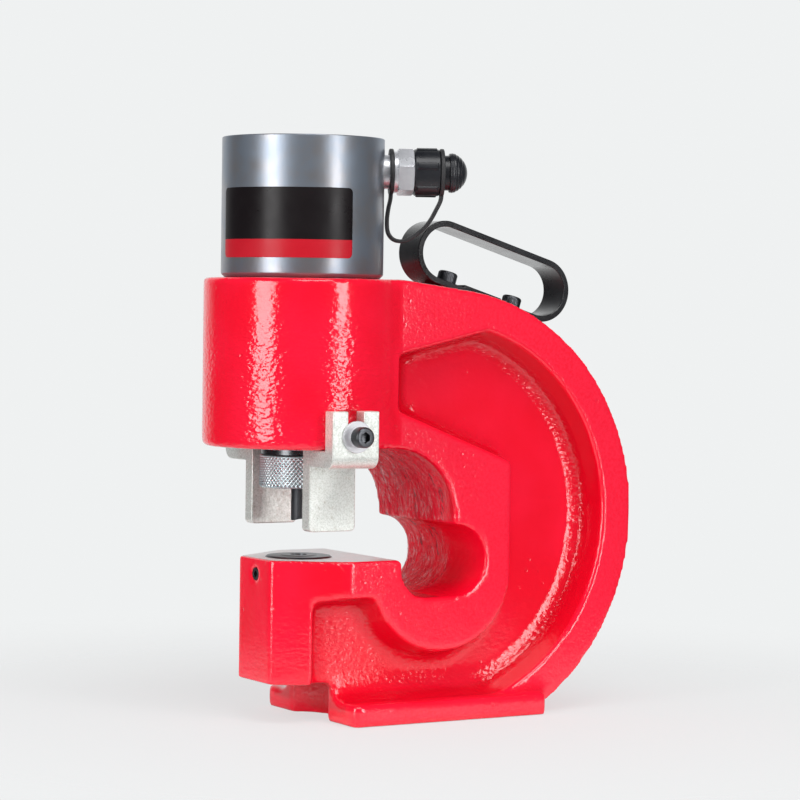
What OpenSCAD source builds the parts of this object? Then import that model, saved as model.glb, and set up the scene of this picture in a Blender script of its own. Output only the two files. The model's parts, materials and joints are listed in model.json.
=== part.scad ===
// Portable hydraulic hole punch: a cast C-frame, a single-acting cylinder screwed into its head,
// a ram with a knurled nut and punch, a die in the anvil and two stripper brackets.
// Millimetres. +X runs from the punch to the back of the frame, +Z is up, the foot stands on Z = 0.

/* [Frame casting] */
// Width across the side faces of the frame
frame_w = 100; // [90:1:112]
// Thickness of the web left between the two side pockets
web_w = 56; // [46:1:66]
// Outer radius of the round rim
rim_r = 147; // [140:0.5:156]
// Distance from the punch axis back to the rim's centre
rim_x = 78; // [70:0.5:86]
// Height of the rim's centre
rim_z = 130.5; // [126:0.5:136]
// Width of the raised rim, measured along its radius
rim_wall = 22.5; // [16:0.5:30]
// How far a pocket wall leans in from the side face to the pocket floor
pocket_draft = 5; // [2:0.5:8]
// Height of the head shoulder above the pocket, at the head's radius
shoulder_h = 43; // [34:0.5:52]
// Rise of the pocket's upper wall towards the back, in degrees
shoulder_rise = 13; // [6:0.5:18]
// Distance from the punch axis back to where the flat top of the head ends
shoulder_x = 47.6; // [44:0.2:52]

/* [Head] */
// Radius of the head boss
head_r = 63; // [59:0.5:68]
// Height of the head boss
head_h = 107.6; // [100:0.2:116]
// Rounding of the lower edge of the head boss
head_edge_r = 4; // [2:0.5:8]
// Fillet between the head boss and the side faces
head_fillet_r = 20; // [10:1:26]
// Thickness of the wall under the cylinder's seat
head_floor_h = 25; // [22:0.5:30]

/* [Throat and anvil] */
// Height of the anvil face
anvil_h = 104.3; // [98:0.1:110]
// Opening between the anvil face and the head
daylight = 70.7; // [66:0.1:76]
// Radius of the round throat
throat_r = 45; // [41:0.5:48]
// Distance from the punch axis back to the round throat's centre
throat_x = 42; // [38:0.5:46]
// Throat depth: from the punch axis to the back of the lower slot
throat_depth = 110.6; // [104:0.2:116]
// Radius of the back of the lower slot
slot_r = 23; // [20:0.5:25]
// Height of the floor of the lower slot
slot_floor_z = 79.5; // [75:0.5:83]
// Distance from the punch axis back to the slot's front wall
slot_front_x = 48.5; // [44:0.5:54]
// Rounding between the slot's front wall and its floor
slot_corner_r = 18; // [8:0.5:22]
// Rounding of the anvil's back edge
anvil_edge_r = 3.5; // [1:0.5:6]
// Distance from the punch axis forward to the nose's front face
nose_x = 32; // [31:0.5:40]
// Width of the nose's front face
nose_w = 43; // [34:1:50]
// Distance from the punch axis back to where the nose reaches full width
nose_flank_x = 10; // [4:0.5:16]
// Height of the nose's underside
nose_z = 25; // [22:0.5:30]
// Distance from the punch axis forward to the pocket's front wall
pocket_front_x = 11.5; // [4:0.5:18]

/* [Band round the throat] */
// Thickness of the band behind the lower slot
throat_wall = 19.8; // [14:0.2:26]
// Radius of the band's lower bend
band_r = 51.3; // [46:0.1:56]
// Height of the centre of the band's lower bend
band_z = 96; // [92:0.5:100]
// Height of the band above the head's underside, at the head's radius
band_h = 16.4; // [10:0.2:24]
// Fall of the band's upper edge towards the back, in degrees
band_fall = 21.2; // [14:0.2:26]
// Rounding of the band's upper back corner
band_corner_r = 6; // [3:0.5:12]
// Height of the band's underside below the anvil
band_under_z = 81; // [78:0.5:84]
// Fillet between the band's underside and its lower bend
band_fillet_r = 8; // [6:0.5:10]

/* [Foot] */
// Distance from the punch axis back to the foot's front edge
foot_front_x = 8.9; // [4:0.1:14]
// Length of the foot
foot_l = 145; // [138:0.5:156]
// Width of the foot
foot_w = 118; // [106:1:126]
// Height of the foot's edge
foot_h = 14.3; // [10:0.1:18]
// Fillet between the foot and the web
foot_fillet_r = 14; // [10:0.5:14]
// Rounding of the foot's front corners, seen from above
foot_corner_r = 6; // [3:0.5:12]
// Radius of the slug notch in the front of the foot
notch_r = 25; // [22:0.5:28]

/* [Cylinder] */
// Outer radius of the cylinder
barrel_r = 52; // [50:0.5:55]
// Height of the cylinder above the head
barrel_h = 89.4; // [84:0.2:96]
// Piston bore radius
bore_r = 40; // [38:0.5:42]
// Radius of the screwed skirt in the head
skirt_r = 46; // [45:0.5:48]
// Thickness of the cylinder's end wall
end_wall = 15; // [12:0.5:16]
// Chamfer where the cylinder meets the head
barrel_foot_chamfer = 2.5; // [1:0.5:4]
// Chamfer of the cylinder's top edge
barrel_top_chamfer = 1; // [0.5:0.5:3]

/* [Ram] */
// Rod radius
rod_r = 25; // [23:0.5:26]
// Piston length
piston_l = 40; // [36:0.5:42]
// Free height over the piston at rest
piston_head_gap = 12; // [10.5:0.5:14]
// Wall of the guide bush
bush_wall = 6; // [4:0.5:7]
// Height of the guide bush's flange
bush_flange_h = 6; // [4:0.5:8]
// Width of the guide bush's flange beyond its body
bush_flange_w = 7; // [5:0.5:8]
// Height of the wiper ring
wiper_h = 4; // [3:0.5:6]
// Seal ring height
seal_h = 7; // [5:0.5:9]
// Distance from the piston's top down to the seal ring
seal_drop = 8; // [6:0.5:10]
// Seal ring depth
seal_d = 5.9; // [4:0.1:7]
// Guide ring height
guide_ring_h = 8; // [6:0.5:10]
// Height of the guide ring above the piston's lower face
guide_ring_rise = 7; // [5:0.5:9]
// Guide ring depth
guide_ring_d = 2.9; // [2:0.1:4]
// Chamfer of the piston's top edge
piston_chamfer = 1.5; // [1:0.1:2.5]
// Return spring wire
spring_wire = 7; // [5:0.5:7.5]
// Space between the rod and the return spring
spring_clear = 4; // [3:0.1:4.5]
// Return spring turns
spring_turns = 7; // [5:1:8]

/* [Punch and die] */
// Radius of the knurled nut
nut_r = 26; // [25:0.5:28]
// Height of the knurled nut
nut_h = 21; // [18:0.5:24]
// Chamfer of the nut's edges
nut_chamfer = 1; // [0.5:0.1:1.5]
// Wall of the nut round the ram's threaded end
nut_wall = 5; // [4:0.5:6]
// Height of the nut's flange under the punch
nut_flange_h = 6; // [4:0.5:8]
// Length of bare rod between the nut and the head at rest
rod_bare_l = 5; // [3:0.5:8]
// Punch radius
punch_r = 5.25; // [3:0.05:9]
// Radius of the punch's neck in the nut
punch_neck_r = 10.9; // [10:0.1:12]
// Radius of the punch's head
punch_head_r = 15; // [13:0.1:16]
// Height of the punch's head
punch_head_h = 6; // [4:0.5:8]
// Length of the punch below the nut
punch_l = 21.5; // [18:0.5:23]
// Radius of the hollow ground into the punch's tip
punch_hollow_r = 12; // [10:0.5:20]
// Depth of the hollow in the punch's tip
punch_hollow_d = 1.2; // [0.5:0.1:2]
// Die radius
die_r = 21.5; // [20:0.1:22]
// Die height
die_h = 28; // [24:0.5:30]
// Height that the die stands above the anvil face
die_proud = 1.2; // [0.4:0.1:3]
// Clearance between punch and die, on the radius
die_gap = 0.15; // [0.1:0.05:0.4]
// Chamfer of the die's upper rim
die_chamfer = 1; // [0.5:0.1:2]
// Depth of the die's cutting land
die_land = 10; // [6:0.5:14]
// Widening of the hole below the cutting land, on the radius
die_relief = 2.5; // [1:0.1:4]
// Radius of the slug hole in the casting
slug_r = 13; // [11:0.5:16]
// Depth of the die set screw's axis below the anvil face
set_screw_drop = 10.3; // [8:0.1:16]
// Size across the flats of the set screw's hexagon socket
set_socket_af = 4; // [3:0.5:4.5]
// Length of the die set screw
set_screw_l = 9.5; // [8:0.5:9.5]

/* [Strippers] */
// Width of a stripper bracket
stripper_w = 33; // [28:0.5:38]
// Thickness of the upright
upright_t = 10.4; // [8:0.1:12]
// Height of the upright above the head's underside
upright_h = 25; // [22:0.5:30]
// Height of the ledge
ledge_h = 11; // [9:0.5:14]
// Rounding of the bracket's outer bend
ledge_bend_r = 8; // [4:0.5:9]
// Thickness of the leg
leg_t = 9.6; // [7:0.1:11]
// Clear space between the nut and a leg
leg_gap = 7.9; // [6:0.1:11]
// Reach of the legs below the head's underside
leg_reach = 51.8; // [46:0.2:56]
// Rounding of the leg's lower corners
leg_corner_r = 3; // [1:0.5:6]
// Width of the open slot in the upright
stripper_slot_w = 11.3; // [9:0.1:13]
// Height of the stripper screw's axis above the head's underside
stripper_screw_h = 9.2; // [8:0.1:12]
// Depth of the flat milled on the head behind each bracket
head_flat = 0.6; // [0.4:0.1:1]

/* [Fasteners] */
// Screw shank radius
screw_r = 4; // [3:0.5:4.5]
// Socket head radius
screw_head_r = 6.5; // [5.5:0.1:7.5]
// Socket head height
screw_head_h = 8; // [6:0.5:9]
// Size across the flats of the hexagon socket
socket_af = 6; // [4:0.5:7]
// Depth of the hexagon socket
socket_d = 4; // [3:0.5:5]
// Length of thread in the casting
screw_grip = 15; // [12:0.5:17]
// Plain washer radius
washer_r = 10; // [8.5:0.1:12]
// Plain washer thickness
washer_t = 1.8; // [1.2:0.1:2.5]
// Spring washer thickness
spring_washer_t = 2.2; // [1.6:0.1:3]
// Gap in the split spring washer
spring_washer_split = 1.2; // [0.8:0.1:2]

/* [Coupler] */
// Direction of the coupler, in degrees from straight back towards the near side
coupler_turn = 26; // [0:1:40]
// Depth of the coupler's axis below the cylinder's top
coupler_drop = 20.5; // [19.5:0.1:22]
// Radius of the coupler's neck
coupler_neck_r = 11; // [10:0.1:12]
// Length of the neck
coupler_neck_l = 5.9; // [5:0.1:7]
// Radius of the collar in front of the hexagon
coupler_collar_r = 13.4; // [12.5:0.1:13.5]
// Length of the collar
coupler_collar_l = 2.4; // [1.5:0.1:4]
// Size across the flats of the hexagon
hex_af = 27; // [27:0.5:29]
// Length of the hexagon
hex_l = 10.2; // [8:0.1:13]
// Turn of the hexagon about its axis, in degrees
hex_turn = 18.5; // [0:0.5:60]
// Corner chamfer of the hexagon
hex_chamfer = 1.4; // [1:0.1:2]
// Radius of the threaded nose in the cap
coupler_nose_r = 10.5; // [9.5:0.1:11]
// Length of the threaded nose
coupler_nose_l = 14; // [13:0.1:16]
// Radius of the thread in the cylinder wall
port_r = 8; // [7:0.1:8.5]
// Length of the thread in the cylinder wall
port_l = 7; // [5:0.1:8]
// Radius of the oil passage
oil_r = 2.5; // [1.5:0.1:3]
// Thickness of the sealing washer
coupler_seal_t = 1.5; // [1:0.1:2]
// Radius of the valve chamber
valve_r = 5.5; // [5:0.1:6]
// Length of the valve chamber
valve_l = 22; // [20:0.1:23]
// Depth of the valve's pin inside the nose
pin_inset = 0.4; // [0.2:0.1:1]
// Length of the valve's body
poppet_l = 9.9; // [9:0.1:11]
// Radius of the valve's pin
poppet_pin_r = 2.6; // [2:0.1:3]
// Length of the valve's pin
poppet_pin_l = 4; // [3:0.1:4.4]
// Wire of the valve spring
valve_wire = 1.2; // [0.8:0.1:1.2]
// Turns of the valve spring
valve_turns = 5; // [4:1:5]

/* [Dust cap and leash] */
// Radius of the cap over its grip bars
cap_r = 15.9; // [15:0.1:17]
// Length of the cap's skirt
cap_l = 16.4; // [15.5:0.1:19]
// Number of grip bars
cap_bars = 6; // [5:1:9]
// Height of the grip bars
cap_bar_h = 1; // [0.6:0.1:1.6]
// Width of the grip bars
cap_bar_w = 4; // [3:0.1:5]
// Bare length of the cap at each end of a grip bar
cap_bar_inset = 1.5; // [1:0.1:3]
// Turn of the grip bars about the cap's axis, in degrees
cap_bar_turn = 46; // [0:1:60]
// Radius of the neck between cap and knob
cap_neck_r = 11.2; // [9:0.1:12]
// Length of the neck between cap and knob
cap_neck_l = 6.4; // [5:0.1:8]
// Radius of the knob's foot
knob_r = 12.7; // [11:0.1:14]
// Length of the domed knob
knob_l = 11.8; // [10:0.1:12.5]
// Radius of the knob's dome
knob_dome_r = 13.5; // [13.2:0.1:16]
// Radius of the leash ring on the coupler
leash_ring_r = 15; // [14:0.1:16]
// Thickness of the leash rings
leash_ring_t = 2.6; // [2:0.1:3]
// Radius of the leash ring on the cap
cap_ring_r = 15.4; // [14:0.1:16]
// Drop of the leash strap below the coupler's axis
strap_drop = 44.2; // [42:0.2:46]
// Width of the leash strap
strap_w = 8; // [6:0.5:10]
// Thickness of the leash strap
strap_t = 2.4; // [1.6:0.1:2.6]

/* [Handle] */
// Least slope of the handle, in degrees
handle_tilt = 17; // [12:0.5:22]
// Outer radius of the handle's bends
handle_r = 21.1; // [19:0.1:26]
// Distance between the centres of the bends
handle_l = 79.8; // [74:0.2:92]
// Thickness of the handle's strip
strip_t = 4; // [3:0.1:5]
// Width of the handle's strip
strip_w = 25; // [22:0.5:32]
// Distance that the front bend's centre lies ahead of the pad's middle
handle_lead = 28.6; // [26:0.2:32]
// Height of the pad's flat top over the rim
pad_rise = 1.4; // [0.8:0.1:4]
// Width of the pad under the handle
pad_w = 30; // [26:0.5:36]
// Distance from the front bend's centre to the pad's front end
pad_front = 2; // [0:0.5:6]
// Distance from the pad's back end to the back bend's centre
pad_back = 8; // [4:0.5:12]
// Depth of the pad below its flat top
pad_depth = 16; // [14:0.5:18]
// Distance from the front bend's centre to the first screw
handle_screw_x = 13.2; // [12:0.2:16]
// Distance between the two handle screws
handle_screw_gap = 52.8; // [48:0.2:54]
// Length of the lap where the strip's ends overlap
lap_l = 30; // [24:0.5:34]
// Height of the lap above the strip
lap_t = 1.8; // [1.2:0.1:3]
// Space between the front screw's head and the lap
lap_gap = 0.8; // [0.4:0.1:2]

/* [Clearances] */
// Running fit of the ram, on the radius
running_gap = 0.05; // [0.02:0.01:0.08]
// Screwed and seated fits, on the radius
thread_gap = 0.1; // [0.05:0.01:0.15]
// Free space between pieces that turn or slide past each other
free_gap = 0.3; // [0.25:0.05:0.4]
// Runout at the ends of screwed lengths
thread_runout = 0.5; // [0.3:0.1:0.8]
// Depth of the coupler's spot face below the cylinder's side
spot_skim = 0.2; // [0.1:0.1:0.6]

/* [Hidden] */
$fn = 96;
// Reach of a cut past the faces that it opens
over = 1;
// Reach of a cut that takes everything on one side
far = 400;
// Overlap of surfaces that run smoothly into each other
bite = 0.1;

paint_red = [0.82, 0.06, 0.10];
gunmetal = [0.27, 0.29, 0.31];
zinc = [0.78, 0.79, 0.78];
black_oxide = [0.12, 0.12, 0.13];
black_rubber = [0.08, 0.08, 0.09];
bright_steel = [0.62, 0.63, 0.65];
bronze = [0.72, 0.52, 0.28];
seal_blue = [0.16, 0.26, 0.36];

// The part's origin lies under the middle of its length
axis_x = (head_r - rim_x - rim_r) / 2;
head_z = anvil_h + daylight;
head_top = head_z + head_h;
barrel_top = head_top + barrel_h;
seat_z = head_z + head_floor_h;

throat_z = head_z - throat_r;
slot_x = throat_depth - slot_r;
slot_z = slot_floor_z + slot_r;
nose_half = nose_w / 2;

// The spine runs as a tangent from the head's top edge onto the rim
shoulder_dir = [shoulder_x - rim_x, head_top - rim_z];
spine_r = rim_r - bite;
spine_angle = atan2(shoulder_dir.y, shoulder_dir.x) - acos(min(1, spine_r / norm(shoulder_dir)));
spine_end = [rim_x + spine_r * cos(spine_angle), rim_z + spine_r * sin(spine_angle)];

// Side pockets, seen along the frame's width: x along the frame, y up, z out from the middle plane
face_z = frame_w / 2;
floor_z = web_w / 2;
pocket_d = face_z - floor_z;
lean = pocket_draft / pocket_d;
rim_in_r = rim_r - rim_wall;
band_end_x = throat_depth + throat_wall;
band_x = band_end_x - band_r;
band_top_z = head_z + band_h + head_r * tan(band_fall);
band_corner_x = band_end_x - band_corner_r;
band_corner_z = band_top_z - band_corner_x * tan(band_fall) - band_corner_r / cos(band_fall);
band_corner_top = [band_corner_x, band_corner_z] + band_corner_r * [sin(band_fall), cos(band_fall)];
band_fillet_z = band_under_z - band_fillet_r;
band_fillet_x = band_x - sqrt(pow(band_r + band_fillet_r, 2) - pow(band_z - band_fillet_z, 2));
band_fillet_share = band_r / (band_r + band_fillet_r);
band_fillet_end = [band_x, band_z] + band_fillet_share * [band_fillet_x - band_x, band_fillet_z - band_z];
shoulder_z = head_top - shoulder_h - head_r * tan(shoulder_rise);
shoulder_end_x = rim_x + rim_r;

// Fillet of the head boss into a side face
fillet_y = face_z + head_fillet_r;
fillet_x = sqrt(pow(head_r + head_fillet_r, 2) - pow(fillet_y, 2));

// Ram and its guide
bush_r = rod_r + bush_wall;
chamber_top = barrel_top - end_wall;
piston_top = chamber_top - piston_head_gap;
piston_z = piston_top - piston_l;
piston_r = bore_r - 2 * running_gap;
flange_top = seat_z + bush_flange_h;
nut_top = head_z - rod_bare_l;
nut_z = nut_top - nut_h;
thread_r = nut_r - nut_wall;
thread_end_z = nut_z + nut_flange_h + punch_head_h;
seal_z = piston_top - seal_drop - seal_h;
guide_ring_z = piston_z + guide_ring_rise;
spring_r = rod_r + spring_clear + spring_wire / 2;

// Die and slug hole
die_top = anvil_h + die_proud;
die_z = die_top - die_h;
set_screw_z = anvil_h - set_screw_drop;
set_screw_end = die_r + free_gap;

// Strippers, measured out from the punch axis
flat_y = head_r - head_flat;
upright_y = flat_y + upright_t;
leg_y = nut_r + leg_gap;
ledge_z = head_z - ledge_h;
leg_z = head_z - leg_reach;
stripper_screw_z = head_z + stripper_screw_h;
stripper_head_y = upright_y + washer_t + spring_washer_t;

// Coupler, measured out from the punch axis along its own direction
coupler_z = barrel_top - coupler_drop;
spot_r = coupler_neck_r + 2 * free_gap;
spot_x = sqrt(pow(barrel_r, 2) - pow(spot_r, 2)) - spot_skim;
neck_x = spot_x + coupler_seal_t;
collar_x = neck_x + coupler_neck_l;
hex_x = collar_x + coupler_collar_l;
nose_start_x = hex_x + hex_l;
nose_end_x = nose_start_x + coupler_nose_l;
port_end_x = spot_x - port_l;
valve_end_x = nose_end_x - poppet_pin_l - pin_inset;
valve_start_x = valve_end_x - valve_l;
poppet_x = valve_end_x - poppet_l - thread_gap;
cap_x = nose_start_x + free_gap;
cap_end_x = cap_x + cap_l;
knob_x = cap_end_x + cap_neck_l;
knob_centre_x = knob_x + knob_l - knob_dome_r;
leash_x = collar_x - free_gap - leash_ring_t;
cap_ring_x = cap_end_x + free_gap;

// Route of the leash strap in the upright plane of the coupler, from its lowest point: shares of the way
// from the coupler's ring to the cap's ring, and shares of the strap's drop
strap_low_z = coupler_z - strap_drop;
strap_start_x = leash_x + leash_ring_t / 2;
strap_span = cap_ring_x + leash_ring_t / 2 - strap_start_x;
strap_shares = [[0, 0.724], [-0.006, 0.611], [-0.043, 0.475], [-0.07, 0.305], [-0.052, 0.136], [0.037, 0.036],
    [0.175, 0], [0.329, 0.02], [0.498, 0.095], [0.668, 0.195], [0.797, 0.317], [0.895, 0.45], [0.975, 0.57],
    [1, 0.645], [1, 0.724]];
strap_route = [for (p = strap_shares) [strap_start_x + p.x * strap_span, p.y * strap_drop]];
strap_steps = 3;

// Handle, measured from the centre of its front bend in its own tilted frame
handle_in_r = handle_r - strip_t;
pad_l = handle_l - pad_back - pad_front;
lap_x = handle_screw_x + screw_head_r + lap_gap;
// The pad stays on the round rim, this many degrees or more behind the end of the straight spine
spine_lead = 9.5;
handle_slope = max(handle_tilt, 90 - spine_angle + spine_lead);

// A point on a smooth curve through four neighbouring points
function curve_at(a, b, c, d, t) =
    let (bend = 2 * a - 5 * b + 4 * c - d, twist = 3 * b - a - 3 * c + d)
    (2 * b + (c - a) * t + bend * t * t + twist * t * t * t) / 2;

// All points of the smooth curve through a list of points
function smooth_route(pts, steps) = [
    for (i = [0 : len(pts) - 2], j = [0 : steps - 1])
        curve_at(pts[max(0, i - 1)], pts[i], pts[i + 1], pts[min(len(pts) - 1, i + 2)], j / steps),
    pts[len(pts) - 1]
];

// Triangles that close a tube of ring sections with the given number of sides
function tube_faces(rings, sides) = concat(
    [for (i = [0 : rings - 2], j = [0 : sides - 1])
        each [[i * sides + j, (i + 1) * sides + j, (i + 1) * sides + (j + 1) % sides],
            [i * sides + j, (i + 1) * sides + (j + 1) % sides, i * sides + (j + 1) % sides]]],
    [for (j = [1 : sides - 2]) [0, j, j + 1]],
    [for (j = [1 : sides - 2]) let (last = (rings - 1) * sides) [last, last + j + 1, last + j]]
);

// Height along a coil, with a close turn at each end and even turns between, t from 0 to turns
function coil_height(t, turns, close, height) =
    let (pitch = (height - 2 * close) / (turns - 2))
    t < 1 ? close * t : t > turns - 1 ? height - close * (turns - t) : close + pitch * (t - 1);

curl_rings = 8;
wire_sides = 6;
// Gap between the close turns at a spring's ends
close_gap = 0.6;

// Centre line of a coil spring that stands on z = 0
function coil_points(r, wire, turns, height) = [
    for (i = [0 : curl_rings * turns])
        let (turn = i / curl_rings, a = 360 * turn)
        let (rise = coil_height(turn, turns, wire + close_gap, height - wire))
        [r * cos(a), r * sin(a), wire / 2 + rise]
];

// Least gap of a coil to itself, over points that lie half a turn or more apart
function coil_gap(pts, wire) = min([
    for (i = [0 : len(pts) - 1], j = [i + curl_rings / 2 : 1 : len(pts) - 1]) norm(pts[i] - pts[j])
]) - wire;

// Round wire coil as one tube
module coil(r, wire, turns, height) {
    pts = coil_points(r, wire, turns, height);
    sections = [
        for (i = [0 : len(pts) - 1], j = [0 : wire_sides - 1])
            let (a = 360 * i / curl_rings, b = 360 * j / wire_sides)
            pts[i] + wire / 2 * [cos(b) * cos(a), cos(b) * sin(a), sin(b)]
    ];
    polyhedron(sections, tube_faces(len(pts), wire_sides));
}

// Ring with a rectangular section
module ring(r_out, r_in, h) {
    difference() {
        cylinder(h = h, r = r_out);
        translate([0, 0, -over]) cylinder(h = h + 2 * over, r = r_in);
    }
}

// Hexagonal bar that stands on z = 0
module hexagon(across_flats, h) {
    cylinder(h = h, d = across_flats / cos(30), $fn = 6);
}

// Socket head screw, head up, underside of the head on z = 0
module socket_screw(grip) {
    difference() {
        union() {
            cylinder(h = screw_head_h, r = screw_head_r);
            translate([0, 0, -grip]) cylinder(h = grip + over, r = screw_r);
        }
        translate([0, 0, screw_head_h - socket_d]) hexagon(socket_af, socket_d + over);
    }
}

// Puts children on the punch axis
module on_axis() {
    translate([axis_x, 0, 0]) children();
}

// Puts children, drawn standing up, along the coupler's direction
module on_coupler() {
    on_axis() translate([0, 0, coupler_z]) rotate([0, 0, -coupler_turn]) rotate([0, 90, 0]) children();
}

// Puts children in the tilted frame of the handle's front bend
module on_handle() {
    on_axis() translate([rim_x, 0, rim_z]) rotate([0, handle_slope, 0])
        translate([-handle_lead, 0, rim_r + pad_rise + handle_r]) children();
}

// Draws children on the near and the far side of the frame
module both_sides() {
    children();
    mirror([0, 1, 0]) children();
}

// Side outline of the frame: x along the frame, y up
module frame_outline() {
    difference() {
        union() {
            translate([rim_x, rim_z]) circle(r = rim_r);
            polygon([[0, head_z], [0, head_top], [shoulder_x, head_top], spine_end, [spine_end.x, head_z]]);
            translate([-nose_x, nose_z]) square([nose_x + throat_x, anvil_h - nose_z]);
        }
        translate([-far, head_z]) square([far, far]);
        translate([-far, head_top]) square([far + shoulder_x, far]);
        translate([-far, -far]) square([far - nose_x, far + anvil_h]);
        translate([-far, -far]) square([far + foot_front_x, far + nose_z]);
        translate([-far, -far]) square([3 * far, far]);
        throat_outline();
    }
}

// Work opening, round throat and lower slot
module throat_outline() {
    translate([-far, anvil_h]) square([far + throat_x, head_z - anvil_h]);
    intersection() {
        translate([throat_x, throat_z]) circle(r = throat_r);
        translate([-far, anvil_h]) square([2 * far, far]);
    }
    translate([slot_x, slot_z]) circle(r = slot_r);
    translate([slot_front_x, slot_floor_z + slot_corner_r])
        square([slot_x - slot_front_x, anvil_h + over - slot_floor_z - slot_corner_r]);
    translate([slot_front_x + slot_corner_r, slot_floor_z])
        square([slot_x - slot_front_x - slot_corner_r, slot_corner_r + over]);
    translate([slot_front_x + slot_corner_r, slot_floor_z + slot_corner_r]) circle(r = slot_corner_r);
    difference() {
        translate([slot_front_x - anvil_edge_r, anvil_h - anvil_edge_r]) square(anvil_edge_r + over);
        translate([slot_front_x - anvil_edge_r, anvil_h - anvil_edge_r]) circle(r = anvil_edge_r);
    }
}

// Raised wall of a pocket, its leaning face along the line from p to q with the pocket on the line's left
module pocket_wall(p, q, back) {
    run = q - p;
    translate([p.x, p.y, 0]) rotate([0, 0, atan2(run.y, run.x)]) rotate([90, 0, 90])
        linear_extrude(norm(run))
        polygon([[-back, floor_z - over], [pocket_draft + lean * over, floor_z - over],
            [-lean * over, face_z + over], [-back, face_z + over]]);
}

// Raised round of a pocket, with leaning sides
module pocket_round(x, y, r) {
    translate([x, y, floor_z - over])
        cylinder(h = pocket_d + 2 * over, r1 = r + pocket_draft + lean * over, r2 = r - lean * over);
}

// Fillet of the band between its underside and its lower bend
module band_fillet() {
    reach = 2 * band_fillet_r;
    outer = [band_fillet_end.x + band_fillet_r, band_fillet_end.y + band_fillet_r];
    difference() {
        translate([0, 0, floor_z - over]) linear_extrude(pocket_d + 2 * over)
            polygon([[band_fillet_x, band_fillet_z], band_fillet_end, outer,
                [band_fillet_x, band_fillet_z + reach]]);
        translate([band_fillet_x, band_fillet_z, floor_z - 2 * over])
            cylinder(h = pocket_d + 4 * over, r1 = band_fillet_r + bite - pocket_draft - 2 * lean * over,
                r2 = band_fillet_r + bite + 2 * lean * over);
    }
}

// Pocket in one side of the frame
module side_pocket() {
    difference() {
        union() {
            translate([rim_x, rim_z, floor_z])
                cylinder(h = pocket_d + over, r1 = rim_in_r - pocket_draft, r2 = rim_in_r + lean * over);
            translate([-nose_x - over, -over, floor_z]) cube([rim_x + nose_x, rim_z, pocket_d + over]);
        }
        pocket_wall([shoulder_end_x, shoulder_z + shoulder_end_x * tan(shoulder_rise)], [0, shoulder_z], far);
        pocket_wall([0, band_top_z - bite], band_corner_top - [0, bite], throat_r + band_h);
        pocket_round(band_corner_x, band_corner_z, band_corner_r);
        pocket_wall([band_end_x - bite, band_corner_z], [band_end_x - bite, band_z], band_r);
        pocket_round(band_x, band_z, band_r);
        band_fillet();
        pocket_wall([band_x, band_under_z], [-nose_x - over, band_under_z], daylight);
        pocket_wall([-pocket_front_x, anvil_h], [-pocket_front_x, -over], far);
    }
}

// Corner taken off the nose, seen from above
module nose_corner() {
    translate([0, 0, -over]) linear_extrude(anvil_h + 2 * over)
        polygon([[-nose_x, nose_half], [nose_flank_x, face_z], [nose_flank_x, face_z + over],
            [-nose_x - over, face_z + over], [-nose_x - over, nose_half]]);
}

// Head boss with a rounded lower edge
module head_boss() {
    translate([0, 0, head_z]) rotate_extrude() {
        translate([0, head_edge_r]) square([head_r, head_h - head_edge_r]);
        square([head_r - head_edge_r, head_edge_r]);
        translate([head_r - head_edge_r, head_edge_r]) circle(r = head_edge_r);
    }
}

// Fillet of the head boss into the far side face
module head_fillet() {
    difference() {
        translate([0, 0, head_z]) linear_extrude(head_h)
            polygon([[fillet_x / 4, floor_z], [fillet_x / 4, face_z - 2 * head_edge_r],
                [fillet_x, fillet_y] * head_r / (head_r + head_fillet_r), [fillet_x, fillet_y],
                [fillet_x, floor_z]]);
        translate([fillet_x, fillet_y, head_z - over])
            cylinder(h = head_h + 2 * over, r = head_fillet_r + bite);
    }
}

// Foot slab with rounded front corners, filleted up to the web
module foot() {
    half = foot_w / 2;
    intersection() {
        union() {
            translate([foot_front_x, -half, 0]) cube([foot_l, foot_w, foot_h]);
            both_sides() foot_root();
        }
        translate([0, 0, -over]) linear_extrude(far) {
            translate([foot_front_x + foot_corner_r, -half]) square([foot_l - foot_corner_r, foot_w]);
            translate([foot_front_x, -half + foot_corner_r]) square([foot_l, foot_w - 2 * foot_corner_r]);
            for (y = [-1, 1] * (half - foot_corner_r))
                translate([foot_front_x + foot_corner_r, y]) circle(r = foot_corner_r);
        }
    }
}

// Hollow fillet between the foot's top and the far side of the web
module foot_root() {
    difference() {
        translate([foot_front_x, 0, 0]) cube([foot_l, floor_z + foot_fillet_r, foot_h + foot_fillet_r]);
        translate([foot_front_x - over, floor_z + foot_fillet_r, foot_h + foot_fillet_r])
            rotate([0, 90, 0]) cylinder(h = foot_l + 2 * over, r = foot_fillet_r + bite);
    }
}

// Cast frame with all its bores
module c_frame() {
    color(paint_red) difference() {
        union() {
            on_axis() difference() {
                rotate([90, 0, 0]) linear_extrude(frame_w, center = true) frame_outline();
                both_sides() rotate([90, 0, 0]) side_pocket();
                both_sides() nose_corner();
            }
            on_axis() head_boss();
            on_axis() both_sides() head_fillet();
            on_axis() foot();
            on_handle() translate([pad_front, -pad_w / 2, -handle_r - pad_depth])
                cube([pad_l, pad_w, pad_depth]);
        }
        on_axis() frame_bores();
        on_handle() for (x = [0, handle_screw_gap])
            translate([handle_screw_x + x, 0, -handle_r - screw_grip - over])
                cylinder(h = screw_grip + 2 * over, r = screw_r + thread_gap);
    }
}

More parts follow.
